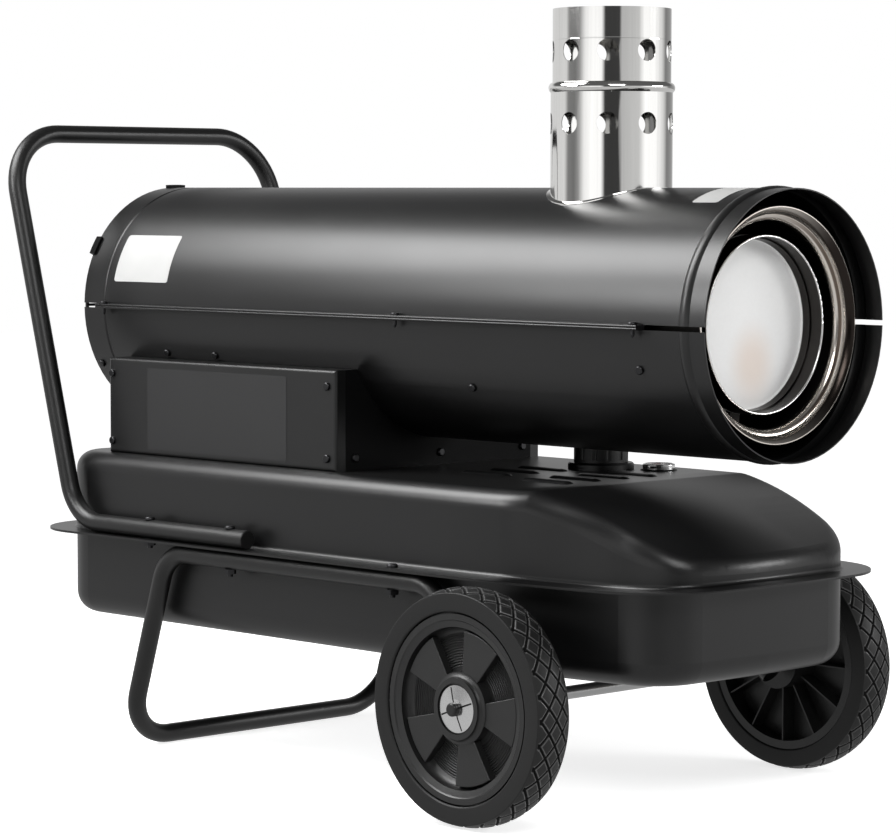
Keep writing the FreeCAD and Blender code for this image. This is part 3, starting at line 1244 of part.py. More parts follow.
def crown_solid(inset):
    """Upper tank form: upright walls, flat top, convex front slope and rounded edges."""
    block = tank_outline(inset, SEAM_Z).extrude(Z_AXIS * (TANK_TOP - inset - SEAM_Z))
    cutter, crest = slope_cutter(inset)
    block = block.cut(cutter)
    ridge = [edge for edge in block.Edges
             if abs(edge.CenterOfMass.x - crest.x) < FIT_GAP and abs(edge.CenterOfMass.z - crest.z) < FIT_GAP]
    block = block.makeFillet(CREST_RADIUS - inset, ridge)
    brim = [edge for edge in block.Edges if is_brim(edge, block)]
    return block.makeFillet(CROWN_EDGE_RADIUS - inset, brim)


def is_brim(edge, block):
    """True for an edge between an upright wall and the top or the slope."""
    if edge.CenterOfMass.z < SEAM_Z + FIT_GAP:
        return False
    upright = []
    for face in block.ancestorsOfType(edge, Part.Face):
        low, high, near, far = face.ParameterRange
        upright.append(abs(face.normalAt((low + high) / 2, (near + far) / 2).z) < 0.01)
    return sorted(upright) == [False, True]


def crown_bead(x, y):
    """Pressed stiffening bead with round ends, standing on the tank's top."""
    radius = (BEAD_WIDTH ** 2 / 4 + BEAD_HEIGHT ** 2) / (2 * BEAD_HEIGHT)
    sink = TANK_TOP + BEAD_HEIGHT - radius
    straight = BEAD_LENGTH - BEAD_WIDTH
    rod_solid = Part.makeCylinder(radius, straight, V(x, y, sink), X_AXIS)
    ends = [Part.makeSphere(radius, V(end, y, sink)) for end in (x, x + straight)]
    clip = box(V(x - radius, y - radius, TANK_TOP - TANK_SHEET / 2),
               V(x + straight + radius, y + radius, TANK_TOP + radius))
    return joined(rod_solid, *ends).common(clip)


def crown_beads():
    """Two staggered rows of beads in front of the control box."""
    beads = []
    start = BROW_X - BEAD_FRONT_MARGIN - BEAD_LENGTH + BEAD_WIDTH / 2
    for row, count in enumerate((FRONT_BEADS, REAR_BEADS)):
        x = start - row * BEAD_ROW_STEP
        for index in range(count):
            beads.append(crown_bead(x, BEAD_ROW_Y + (index - (count - 1) / 2) * BEAD_PITCH))
    return beads


def tank_upper():
    """Upper tank half with flange, beads, filler hole, gauge boss and pipe hole."""
    shell = crown_solid(0).cut(crown_solid(TANK_SHEET))
    shell = joined(shell, flange_sheet(SEAM_Z))
    root = [edge for edge in shell.Edges if is_flange_root(edge, FLANGE_TOP)]
    shell = shell.makeFillet(FLANGE_EDGE_RADIUS, root)
    boss_radius = GAUGE_RADIUS + GAUGE_BOSS
    boss = Part.makeCone(boss_radius + GAUGE_BOSS, boss_radius, GAUGE_BOSS + TANK_SHEET / 2,
                         GAUGE_CENTRE - Z_AXIS * (GAUGE_BOSS + TANK_SHEET / 2))
    shell = joined(shell, boss, *crown_beads())
    filler = Part.makeCylinder(NECK_RADIUS + SEAT_GAP, TANK_CROWN, FILLER_CENTRE - Z_AXIS * TANK_CROWN / 2)
    suction = Part.makeCylinder(PIPE_RADIUS + SEAT_GAP, TANK_CROWN, suction_foot() - Z_AXIS * TANK_CROWN / 2)
    return shell.cut(Part.makeCompound([filler, suction] + flange_holes()))


def is_flange_root(edge, level):
    """True for an edge where the tank's wall meets its flange at a level."""
    spread = edge.BoundBox
    if abs(spread.ZMin - level) > FIT_GAP or abs(spread.ZMax - level) > FIT_GAP:
        return False
    middle = edge.valueAt((edge.FirstParameter + edge.LastParameter) / 2)
    wall = tank_outline(0, level).OuterWire
    return wall.distToShape(Part.Vertex(middle))[0] < FIT_GAP


def tank_lower():
    """Lower tank half: deep pan with rounded lower edges, flange and drain hole."""
    def pan(inset):
        floor = PAN_CLEARANCE + inset
        block = tank_outline(inset, floor).extrude(Z_AXIS * (SEAM_Z - floor))
        edges = [edge for edge in block.Edges if abs(edge.BoundBox.ZMax - floor) < FIT_GAP]
        return block.makeFillet(PAN_EDGE_RADIUS - inset, edges)

    shell = joined(pan(0).cut(pan(TANK_SHEET)), flange_sheet(FLANGE_BOTTOM))
    drain = Part.makeCylinder(DRAIN_RADIUS + FIT_GAP, PAN_DEPTH, DRAIN_CENTRE - Z_AXIS * PAN_DEPTH / 2)
    return shell.cut(Part.makeCompound([drain] + flange_holes()))


def filler_neck():
    """Flanged neck in the tank's top with an open bore."""
    outline = [
        (-NECK_DROP, NECK_BORE), (-NECK_DROP, NECK_RADIUS), (0, NECK_RADIUS), (0, FILLER_FLANGE_RADIUS),
        (FILLER_FLANGE - FILLER_FLANGE_EDGE, FILLER_FLANGE_RADIUS),
        (FILLER_FLANGE, FILLER_FLANGE_RADIUS - FILLER_FLANGE_EDGE),
        (FILLER_FLANGE, NECK_RADIUS), (FILLER_FLANGE + NECK_HEIGHT, NECK_RADIUS),
        (FILLER_FLANGE + NECK_HEIGHT, NECK_BORE),
    ]
    return turned(outline, FILLER_CENTRE, Z_AXIS, X_AXIS)


def filler_cap():
    """Fluted cap over the neck, hollow underneath."""
    low = FILLER_FLANGE + MOVE_GAP
    high = FILLER_FLANGE + CAP_HEIGHT
    bore = NECK_RADIUS + MOVE_GAP
    ceiling = max(high - CAP_TOP, FILLER_FLANGE + NECK_HEIGHT + MOVE_GAP)
    edge = (high - CAP_EDGE, CAP_RADIUS)
    outline = [
        (low, bore), (low, CAP_RADIUS), edge,
        bowed(edge, (high, CAP_RADIUS - CAP_EDGE), CAP_EDGE * ROUND_SAG), (high, 0),
        (ceiling, 0), (ceiling, bore),
    ]
    cap = turned(outline, FILLER_CENTRE, Z_AXIS, X_AXIS)
    span = (low + CAP_EDGE, high + CAP_EDGE)
    return fluted(cap, CAP_FLUTES, CAP_RADIUS, CAP_FLUTE_RADIUS, FILLER_CENTRE, Z_AXIS, span)


def gauge_bezel():
    """Bright cup of the fuel gauge: floor with the pointer's pin, wall and inner lip."""
    wall = GAUGE_RADIUS - GAUGE_RING
    seat = GAUGE_HEIGHT - LENS_THICKNESS
    ledge = wall - GAUGE_LEDGE
    pin_top = seat - MOVE_GAP
    edge = (GAUGE_HEIGHT - GAUGE_EDGE, GAUGE_RADIUS)
    outline = [
        (0, 0), (0, GAUGE_RADIUS), edge,
        bowed(edge, (GAUGE_HEIGHT, GAUGE_RADIUS - GAUGE_EDGE), GAUGE_EDGE * ROUND_SAG), (GAUGE_HEIGHT, wall),
        (seat, wall), (seat, ledge), (GAUGE_FLOOR, ledge), (GAUGE_FLOOR, GAUGE_PIN_RADIUS),
        (pin_top, GAUGE_PIN_RADIUS), (pin_top, 0),
    ]
    return turned(outline, GAUGE_CENTRE, Z_AXIS, X_AXIS)


def gauge_lens():
    wall = GAUGE_RADIUS - GAUGE_RING - FIT_GAP
    seat = GAUGE_HEIGHT - LENS_THICKNESS
    return Part.makeCylinder(wall, LENS_THICKNESS, GAUGE_CENTRE + Z_AXIS * (seat + FIT_GAP))


def gauge_pointer():
    """Tapered pointer turning on the gauge's pin."""
    base = GAUGE_CENTRE + Z_AXIS * (GAUGE_FLOOR + MOVE_GAP)
    reach = GAUGE_RADIUS - GAUGE_RING - GAUGE_LEDGE - 2 * MOVE_GAP
    root = V(0, POINTER_ROOT / 2, 0)
    tip = V(0, POINTER_TIP / 2, 0)
    end = base + X_AXIS * reach
    needle = Part.Face(Part.makePolygon([base - root, end - tip, end + tip, base + root, base - root]))
    boss = Part.makeCylinder(POINTER_BOSS_RADIUS, POINTER_BOSS, base)
    bore = Part.makeCylinder(GAUGE_PIN_RADIUS + FIT_GAP, 2 * GAUGE_HEIGHT, base - Z_AXIS * GAUGE_HEIGHT)
    return joined(boss, needle.extrude(Z_AXIS * POINTER_THICKNESS)).cut(bore)


def drain_plug():
    """Hexagon plug in the lowest part of the pan."""
    head = hexagon(DRAIN_CENTRE - Z_AXIS * (DRAIN_HEAD + SEAT_GAP), DRAIN_HEX, DRAIN_HEAD)
    shank = Part.makeCylinder(DRAIN_RADIUS, DRAIN_HEAD + DRAIN_BITE, DRAIN_CENTRE - Z_AXIS * DRAIN_HEAD)
    return joined(head, shank)


# Handle, frame, bolts

def handle_tube():
    """One bent tube: two runs on the flange, two leaning uprights and the grip bar."""
    near = [V(HANDLE_END_X, -TUBE_Y, HANDLE_Z), V(HANDLE_CORNER_X, -TUBE_Y, HANDLE_Z),
            V(HANDLE_TOP_X, -TUBE_Y, HANDLE_TOP_Z)]
    far = [V(point.x, -point.y, point.z) for point in reversed(near)]
    bends = [HANDLE_LOWER_BEND, HANDLE_UPPER_BEND]
    path = bent_path(near + far, bends + bends[::-1])
    outer = rod(path, near[0], -X_AXIS, HANDLE_RADIUS)
    bore = rod(path, near[0], -X_AXIS, HANDLE_RADIUS - HANDLE_WALL)
    return outer.cut(bore).cut(Part.makeCompound(bolt_holes()))


def handle_plugs():
    """Plastic plugs in the two open ends of the handle."""
    shank = HANDLE_RADIUS - HANDLE_WALL - SEAT_GAP
    outline = [(-PLUG_SHANK, 0), (-PLUG_SHANK, shank), (SEAT_GAP, shank), (SEAT_GAP, HANDLE_RADIUS),
               (PLUG_HEAD - PLUG_EDGE, HANDLE_RADIUS), (PLUG_HEAD, HANDLE_RADIUS - PLUG_EDGE), (PLUG_HEAD, 0)]
    return [turned(outline, V(HANDLE_END_X, side * TUBE_Y, HANDLE_Z), X_AXIS, Z_AXIS) for side in (-1, 1)]


def frame_tube():
    """One bent tube: front legs on the axle, runs under the flange, rear legs and foot bar."""
    axle = V(AXLE_X, -TUBE_Y, WHEEL_RADIUS)
    shoulder = V(FRAME_CORNER_X, -TUBE_Y, FRAME_Z)
    nose = axle + (axle - shoulder).normalize() * FRAME_NOSE
    knee = V(LEG_TOP_X, -TUBE_Y, FRAME_Z)
    foot = V(FOOT_X, -TUBE_Y, FRAME_RADIUS)
    near = [nose, shoulder, knee, foot]
    far = [V(point.x, -point.y, point.z) for point in reversed(near)]
    bends = [FRONT_LEG_BEND, LEG_BEND, FOOT_BEND]
    path = bent_path(near + far, bends + bends[::-1])
    ahead = shoulder - nose
    tube = rod(path, nose, ahead, FRAME_RADIUS).cut(rod(path, nose, ahead, FRAME_RADIUS - FRAME_WALL))
    axle_hole = Part.makeCylinder(AXLE_RADIUS + FIT_GAP, 4 * TUBE_Y, axle - Y_AXIS * TUBE_Y, Y_AXIS)
    return tube.cut(Part.makeCompound(bolt_holes() + [axle_hole]))


def bolt_rows():
    """Bolt places with the height of the head's seat and of the nut's seat."""
    tube_floor = FRAME_Z - FRAME_RADIUS
    tube_crest = HANDLE_Z + HANDLE_RADIUS
    return [(REAR_BOLT_X, tube_crest, FLANGE_BOTTOM), (FRONT_BOLT_X, tube_crest, tube_floor),
            (FRAME_BOLT_X, FLANGE_TOP, tube_floor)]


def bolt_holes():
    """Upright holes for every bolt on both sides."""
    reach = HANDLE_Z - FRAME_Z + 4 * HANDLE_RADIUS
    low = FRAME_Z - 2 * FRAME_RADIUS
    return [Part.makeCylinder(BOLT_RADIUS + FIT_GAP, reach, V(x, side * TUBE_Y, low))
            for x, _, _ in bolt_rows() for side in (-1, 1)]


def flange_holes():
    """The bolt holes as the flange has them."""
    return bolt_holes()


def tube_bolts():
    """Round-head bolts that hold the handle and the frame on the flange."""
    bolts = []
    for x, seat, nut_seat in bolt_rows():
        length = seat - nut_seat + NUT_HEIGHT + BOLT_TIP
        crown = (-BOLT_HEAD, BOLT_HEAD_RADIUS - BOLT_HEAD_ROUND)
        rim = (BOLT_HEAD_ROUND - BOLT_HEAD, BOLT_HEAD_RADIUS)
        outline = [
            (-BOLT_HEAD, 0), crown, bowed(crown, rim, BOLT_HEAD_ROUND * ROUND_SAG), (0, BOLT_HEAD_RADIUS),
            (0, BOLT_RADIUS), (length, BOLT_RADIUS), (length, 0),
        ]
        for side in (-1, 1):
            bolts.append(turned(outline, V(x, side * TUBE_Y, seat + FIT_GAP), -Z_AXIS, X_AXIS))
    return bolts


def tube_nuts():
    """Hexagon nuts under the flange and under the frame tube."""
    nuts = []
    for x, _, seat in bolt_rows():
        for side in (-1, 1):
            foot = V(x, side * TUBE_Y, seat - NUT_HEIGHT - FIT_GAP)
            bore = Part.makeCylinder(BOLT_RADIUS + FIT_GAP, 4 * NUT_HEIGHT, foot - Z_AXIS * NUT_HEIGHT)
            nuts.append(hexagon(foot, NUT_HEX, NUT_HEIGHT).cut(bore))
    return nuts


# Axle and wheels

def axle():
    """Plain steel rod with rounded ends."""
    tip = AXLE_RADIUS - AXLE_TIP_ROUND
    run = AXLE_HALF - AXLE_TIP_ROUND
    sag = AXLE_TIP_ROUND * ROUND_SAG
    outline = [(-AXLE_HALF, 0), (-AXLE_HALF, tip), bowed((-AXLE_HALF, tip), (-run, AXLE_RADIUS), sag),
               (run, AXLE_RADIUS), bowed((run, AXLE_RADIUS), (AXLE_HALF, tip), sag), (AXLE_HALF, 0)]
    return turned(outline, AXLE_CENTRE, Y_AXIS, Z_AXIS)


def axle_sleeves():
    """Spacer sleeves between the frame tube and the wheels."""
    bore = AXLE_RADIUS + FIT_GAP
    low = TUBE_Y + FRAME_RADIUS + SEAT_GAP
    high = BARREL_END_Y - MOVE_GAP
    outline = [(low, bore), (low, SLEEVE_RADIUS), (high, SLEEVE_RADIUS), (high, bore)]
    sleeve = turned(outline, AXLE_CENTRE, Y_AXIS, Z_AXIS)
    return [sleeve, mirrored(sleeve)]


def wheel_point(radius, angle, y):
    turn = math.radians(angle)
    return AXLE_CENTRE + V(radius * math.cos(turn), y, radius * math.sin(turn))


def sector(inner, outer, middle, span, low, high):
    """Flat sector of a ring about the axle."""
    angles = (middle - span / 2, middle, middle + span / 2)
    rim = [wheel_point(outer, angle, low) for angle in angles]
    core = [wheel_point(inner, angle, low) for angle in angles]
    edges = [Part.Arc(*rim), Part.LineSegment(rim[2], core[2]), Part.Arc(*reversed(core)),
             Part.LineSegment(core[0], rim[0])]
    face = Part.Face(Part.Wire([edge.toShape() for edge in edges]))
    return face.extrude(Y_AXIS * (high - low))


def wheel_spoke(floor, middle):
    """Flat spoke with softened upper edges, standing in the bowl."""
    top = HUB_FACE_Y - SPOKE_DROP
    foot = floor - WEB_THICKNESS / 2
    spoke = sector(HUB_RADIUS - HUB_ROUND, BOWL_RADIUS + SPOKE_GAP, middle, SPOKE_SPAN, foot, top)
    edges = [edge for edge in spoke.Edges if edge.BoundBox.YMin > top - FIT_GAP]
    return spoke.makeFillet(SPOKE_EDGE, edges)


def wheel_rim():
    """Moulded left rim: tyre seat, bowl, five flat spokes, cupped hub, barrel and rear ribs."""
    face = HUB_FACE_Y
    floor = face - BOWL_DEPTH
    web = floor - WEB_THICKNESS
    inner = WHEEL_INNER_Y + RIM_SET_BACK
    band = RIM_RADIUS - RIM_BAND
    bore = AXLE_RADIUS + FIT_GAP
    groove = RIM_RADIUS - RIM_GROOVE_WIDTH
    ledge = face - RIM_BAND_DROP
    brink = (ledge - RIM_LEDGE_FALL, band - RIM_LEDGE_WIDTH)
    shoulder = (face - HUB_ROUND, HUB_RADIUS)
    crown = (face, HUB_RADIUS - HUB_ROUND)
    outline = [
        (BARREL_END_Y, bore), (BARREL_END_Y, BARREL_RADIUS), (web, BARREL_RADIUS), (web, band), (inner, band),
        (inner, RIM_RADIUS), (face - RIM_GROOVE_DEPTH, RIM_RADIUS), (face - RIM_GROOVE_DEPTH, groove),
        (face, groove), (face, band + RIM_BAND_DROP), (ledge, band), brink,
        bowed(brink, (floor, BOWL_RADIUS), -BOWL_SAG), (floor, HUB_RADIUS), shoulder,
        bowed(shoulder, crown, -HUB_ROUND * ROUND_SAG), (face, HUB_CUP_RADIUS), (HUB_SEAT_Y, HUB_CUP_RADIUS),
        (HUB_SEAT_Y, bore),
    ]
    rim = turned(outline, AXLE_CENTRE, Y_AXIS, Z_AXIS)
    spokes = [wheel_spoke(floor, SPOKE_PHASE + 360.0 * index / SPOKE_COUNT) for index in range(SPOKE_COUNT)]
    rib = box(AXLE_CENTRE + V(BARREL_RADIUS - RIB_BITE, inner + RIB_THICKNESS, -RIB_THICKNESS / 2),
              AXLE_CENTRE + V(band + RIB_BITE, web + RIB_BITE, RIB_THICKNESS / 2))
    return joined(rim, *spokes, *spun(rib, RIB_COUNT, AXLE_CENTRE, Y_AXIS))


def tyre():
    """Left tyre: flat sidewalls with rounded bead edges, crisp lips and a crowned tread."""
    low = WHEEL_INNER_Y
    high = WHEEL_OUTER_Y
    seat = RIM_RADIUS + FIT_GAP
    bead = seat + TYRE_BEAD_ROUND
    lip = WHEEL_RADIUS - TYRE_CROWN
    near = (low + TYRE_LIP, lip)
    far = (high - TYRE_LIP, lip)
    toe = (low + TYRE_BEAD_ROUND, seat)
    sag = TYRE_BEAD_ROUND * ROUND_SAG
    outline = [
        toe, bowed(toe, (low, bead), sag), (low, lip - TYRE_LIP), near, bowed(near, far, TYRE_CROWN),
        (high, lip - TYRE_LIP), (high, bead), bowed((high, bead), (high - TYRE_BEAD_ROUND, seat), sag),
    ]
    return turned(outline, AXLE_CENTRE, Y_AXIS, Z_AXIS)


def hub_plate():
    """Left push-on plate: domed disc with slots, gripping the axle."""
    bore = AXLE_RADIUS + FIT_GAP
    low = HUB_PLATE_Y
    high = low + HUB_PLATE_THICKNESS
    grip = AXLE_RADIUS + HUB_PLATE_GRIP
    outline = [
        (low, HUB_PLATE_RADIUS), (high, HUB_PLATE_RADIUS), (high + HUB_PLATE_DOME, grip),
        (high + HUB_PLATE_DOME, bore), (low + HUB_PLATE_DOME, bore), (low + HUB_PLATE_DOME, grip),
    ]
    plate = turned(outline, AXLE_CENTRE, Y_AXIS, Z_AXIS)
    half = HUB_SLOT_WIDTH / 2
    slot = box(AXLE_CENTRE + V(AXLE_RADIUS, low - HUB_PLATE_DOME, -half),
               AXLE_CENTRE + V(HUB_PLATE_RADIUS - HUB_SLOT_MARGIN, high + 2 * HUB_PLATE_DOME, half))
    slot.rotate(AXLE_CENTRE, Y_AXIS, HUB_SLOT_PHASE)
    return plate.cut(Part.makeCompound(spun(slot, HUB_SLOTS, AXLE_CENTRE, Y_AXIS)))


# Writing the pieces

def save(node, made):
    """Write one node; a list of like pieces becomes one group of solids."""
    shape = Part.makeCompound(made) if isinstance(made, list) else made
    shape.exportStep("parts/%s.step" % node)


PIECES = [
    upper_shell, lower_shell, seam_screws, casing_screws, flue_pipe, flue_stub, combustion_drum,
    inner_liner, outlet_ring, liner_standoffs, drum_brackets, burner_tube, swirl_disc, nozzle_holder,
    electrodes, motor, motor_shelf, motor_shaft, fan, rear_guard, guard_hooks, box_tray,
    right_side_cover, left_side_cover, box_screws, thermostat_knob, rocker_frame, power_rocker,
    cord_gland, control_board, fuel_pump, delivery_pipe, suction_pipe, fuel_strainer,
    ignition_transformer, tank_upper, tank_lower, filler_neck, filler_cap, gauge_bezel, gauge_lens,
    gauge_pointer, drain_plug, handle_tube, handle_plugs, frame_tube, tube_bolts, tube_nuts, axle,
    axle_sleeves,
]

SIDED_PIECES = [wheel_rim, tyre, hub_plate]

os.makedirs("parts", exist_ok=True)
for piece in PIECES:
    save(piece.__name__, piece())
for piece in SIDED_PIECES:
    left = piece()
    save("left_" + piece.__name__, left)
    save("right_" + piece.__name__, mirrored(left))
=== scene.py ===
import math

import bmesh
import bpy
import numpy as np
from mathutils import Matrix, Vector


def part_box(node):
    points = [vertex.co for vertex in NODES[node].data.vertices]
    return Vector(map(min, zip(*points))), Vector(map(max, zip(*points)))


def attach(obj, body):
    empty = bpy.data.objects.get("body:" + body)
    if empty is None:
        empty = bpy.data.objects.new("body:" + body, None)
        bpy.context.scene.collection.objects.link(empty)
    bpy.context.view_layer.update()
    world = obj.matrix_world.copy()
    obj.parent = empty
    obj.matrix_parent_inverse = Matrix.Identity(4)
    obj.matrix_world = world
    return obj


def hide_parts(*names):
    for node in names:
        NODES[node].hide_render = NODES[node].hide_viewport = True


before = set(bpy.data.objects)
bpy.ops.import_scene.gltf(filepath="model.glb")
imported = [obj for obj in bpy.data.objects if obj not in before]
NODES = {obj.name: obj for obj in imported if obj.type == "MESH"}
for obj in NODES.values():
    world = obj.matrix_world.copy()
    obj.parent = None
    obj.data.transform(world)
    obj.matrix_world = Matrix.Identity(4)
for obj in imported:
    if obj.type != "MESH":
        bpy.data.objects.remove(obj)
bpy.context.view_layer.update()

bl_info = {
    "name": "Forced Air Heater",
    "version": (1, 0, 0),
    "blender": (4, 5, 0),
    "location": "View3D > Sidebar > Heater",
    "description": "Dresses the solids of a wheeled forced air heater with finishes and fine pieces",
    "category": "Object",
}

# Places on the solids, in metres
AXLE = (0.302, 0.0, 0.115)
AXIS_Z = 0.477
STAIN = (0.438, 0.009, AXIS_Z - 0.039)
KNOB = (-0.106, 0.15, 0.3765)
ROCKER = (-0.048, 0.15, 0.3765)
GAUGE = (0.222, 0.114, 0.318)

# The colour of marks, relief in metres and streak directions that several finishes share
WHITE_MARK = (0.75, 0.75, 0.75)
PEEL = 0.00002
GRAIN = 0.00003
EVEN = (1, 1, 1)
ALONG_Y = (1, 0.02, 1)
ALONG_Z = (1, 1, 0.02)


# Shader values as Python expressions

class Wire:
    """A value in a shader tree; arithmetic on it adds Math nodes."""

    def __init__(self, tree, socket):
        self.tree = tree
        self.socket = socket

    @classmethod
    def add(cls, tree, kind, settings=None, sockets=None, output=0):
        """Add a node, apply its settings first, then set or link its sockets, and give one output."""
        node = tree.nodes.new(kind)
        for name, value in (settings or {}).items():
            if name == "stops":
                ramp = node.color_ramp
                while len(ramp.elements) < len(value):
                    ramp.elements.new(1.0)
                for element, (place, colour) in zip(ramp.elements, value):
                    element.position = place
                    element.color = (*colour, 1.0)
            else:
                setattr(node, name, value)
        for name, value in (sockets or {}).items():
            if isinstance(value, Wire):
                tree.links.new(value.socket, node.inputs[name])
            else:
                node.inputs[name].default_value = value
        return cls(tree, node.outputs[output])

    def maths(self, operation, *values):
        """A Math node on this tree."""
        sockets = dict(enumerate(values))
        return Wire.add(self.tree, "ShaderNodeMath", {"operation": operation}, sockets)

    def __add__(self, other):
        return self.maths("ADD", self, other)

    def __radd__(self, other):
        return self.maths("ADD", other, self)

    def __sub__(self, other):
        return self.maths("SUBTRACT", self, other)

    def __rsub__(self, other):
        return self.maths("SUBTRACT", other, self)

    def __mul__(self, other):
        return self.maths("MULTIPLY", self, other)

    def __rmul__(self, other):
        return self.maths("MULTIPLY", other, self)

    def __truediv__(self, other):
        return self.maths("DIVIDE", self, other)

    def __rtruediv__(self, other):
        return self.maths("DIVIDE", other, self)

    def __pow__(self, other):
        return self.maths("POWER", self, other)

    def __abs__(self):
        return self.maths("ABSOLUTE", self)

    def step(self, low, high):
        """0 at low, 1 at high, smooth between; low may be the larger one."""
        sockets = {"Value": self, "From Min": low, "From Max": high}
        return Wire.add(self.tree, "ShaderNodeMapRange", {"interpolation_type": "SMOOTHSTEP"}, sockets)

    def band(self, low, full, ebb, high):
        """1 from full to ebb, 0 below low and above high, smooth between."""
        return self.step(low, full) * self.step(high, ebb)


def reach(one, other):
    """Distance from an axis, out of the two coordinates across it."""
    return (one * one + other * other) ** 0.5


def strokes(turn, every, low, full):
    """1 on strokes that repeat every so many degrees of a turn: the crests of a cosine from low to full."""
    return turn.maths("COSINE", turn * (2 * math.pi / math.radians(every))).step(low, full)


def grey(level):
    """A neutral colour."""
    return (level, level, level)


def shaded(colour, share):
    """A colour made darker or lighter."""
    return [channel * share for channel in colour]


def blank_material(name):
    """Material with nothing but its output."""
    material = bpy.data.materials.new(name)
    material.use_nodes = True
    material.node_tree.nodes.clear()
    return material, material.node_tree, material.node_tree.nodes.new("ShaderNodeOutputMaterial")


# Numbers of the Mix node's sockets for the factor, the two colours and the mixed colour
MIX_INPUTS = (0, 6, 7)
MIX_RESULT = 2


class Finish:
    """One procedural material with a single shader, on Object coordinates."""

    def __init__(self, name, **constants):
        self.material, self.tree, output = blank_material(name)
        self.shader = self.tree.nodes.new("ShaderNodeBsdfPrincipled")
        self.tree.links.new(self.shader.outputs[0], output.inputs["Surface"])
        for label, value in constants.items():
            self.shader.inputs[label.replace("_", " ")].default_value = value
        self.place = self.add("ShaderNodeTexCoord", output="Object")

    def add(self, kind, settings=None, output=0, **sockets):
        """Any node: type, settings, sockets by name with underscores for spaces."""
        named = {label.replace("_", " "): value for label, value in sockets.items()}
        return Wire.add(self.tree, kind, settings, named, output)

    def axes(self, centre=(0, 0, 0), turn=(0, 0, 0)):
        """The three coordinates after a Mapping node that centres and turns the pattern."""
        moved = self.add("ShaderNodeMapping", {"vector_type": "TEXTURE"},
                         Vector=self.place, Location=centre, Rotation=turn)
        node = self.add("ShaderNodeSeparateXYZ", Vector=moved).socket.node
        return [Wire(self.tree, socket) for socket in node.outputs]

    def noise(self, scale, detail=2.0, rough=0.5, stretch=EVEN):
        """Noise of about scale cells per metre, long along an axis with a small stretch."""
        vector = self.add("ShaderNodeMapping", {"vector_type": "POINT"}, Vector=self.place, Scale=stretch)
        return self.add("ShaderNodeTexNoise", Vector=vector, Scale=scale, Detail=detail, Roughness=rough)

    def grain(self):
        """Eroded grain of moulded plastic and rubber."""
        return self.noise(1400.0, 3.0, 0.6)

    def streaks(self, stretch=EVEN):
        """Drawing or brushing marks of metal."""
        return self.noise(420.0, 2.0, 0.6, stretch)

    def mix(self, factor, first, second):
        """Colour between two colours by a factor."""
        colours = [colour if isinstance(colour, Wire) else (*colour, 1.0) for colour in (first, second)]
        sockets = dict(zip(MIX_INPUTS, (factor, *colours)))
        return Wire.add(self.tree, "ShaderNodeMix", {"data_type": "RGBA"}, sockets, MIX_RESULT)

    def set(self, **values):
        """Link what varies over the surface into the shader."""
        for label, value in values.items():
            self.tree.links.new(value.socket, self.shader.inputs[label.replace("_", " ")])

    def bump(self, height, distance):
        """Relief on the shader's normal: a height of 1 rises by the distance in metres."""
        self.set(Normal=self.add("ShaderNodeBump", Height=height, Distance=distance, Strength=1.0))


# Finishes

def powder_coat(name, colour, roughness, shine=0.5):
    """Powder coat with faint clouds in colour and gloss: the finish, and its orange peel to be raised."""
    finish = Finish(name, Specular_IOR_Level=shine)
    cloud = finish.noise(9.0, 3.0)
    peel = finish.noise(900.0)
    finish.set(Base_Color=finish.mix(cloud, shaded(colour, 0.8), shaded(colour, 1.25)))
    finish.set(Roughness=roughness - 0.03 + 0.05 * cloud + 0.03 * peel)
    return finish, peel


def satin_paint(name, colour, roughness, height=PEEL, shine=0.5):
    """Powder coat with its orange peel."""
    finish, peel = powder_coat(name, colour, roughness, shine)
    finish.bump(peel, height)
    return finish.material


def crowned_paint(name, colour, roughness, crown_radius=0.3, slope=(0.27, 0.42)):
    """Powder coat on the pressed tank top, whose sloping front is slightly crowned across.

    relief = -y^2 / (2 R), eased in along the slope, with the orange peel on top
    """
    finish, peel = powder_coat(name, colour, roughness)
    ahead, side, _ = finish.axes()
    crown = side * side * ahead.step(*slope) / (-2 * crown_radius)
    finish.bump(crown + peel * PEEL, 1.0)
    return finish.material


def plain_metal(name, colour, roughness, stretch=EVEN, spread=0.08):
    """Drawn or brushed metal: gloss streaks along the stretched axis."""
    finish = Finish(name, Metallic=1.0)
    streak = finish.streaks(stretch)
    finish.set(Base_Color=finish.mix(streak, shaded(colour, 0.88), colour))
    finish.set(Roughness=roughness - spread / 2 + spread * streak)
    return finish.material


def moulded_plastic(name, colour, roughness):
    """Injection-moulded plastic with a fine eroded grain."""
    finish = Finish(name)
    grain = finish.grain()
    cloud = finish.noise(14.0)
    finish.set(Base_Color=finish.mix(cloud, shaded(colour, 0.85), shaded(colour, 1.15)))
    finish.set(Roughness=roughness - 0.05 + 0.1 * grain)
    finish.bump(grain, GRAIN)
    return finish.material


def rim_plastic(name, pitch=0.0026, relief=0.0012):
    """Moulded rim: fine grain, concentric ridges on the floors of its windows.

    ridge = sin(2 pi r / pitch), between the windows' radii and on the faces at their depth
    """
    finish = Finish(name)
    across, side, up = finish.axes(AXLE)
    radius = reach(across, up)
    floor = abs(side).band(0.2415, 0.242, 0.244, 0.2445)
    window = radius.band(0.039, 0.0395, 0.071, 0.0715) * floor
    ridge = radius.maths("SINE", radius * (2 * math.pi / pitch))
    grain = finish.grain()
    finish.set(Base_Color=finish.mix(finish.noise(14.0), grey(0.008), grey(0.012)))
    finish.set(Roughness=0.36 + 0.08 * grain)
    finish.bump(grain * 0.04 + window * ridge * 0.5, relief)
    return finish.material


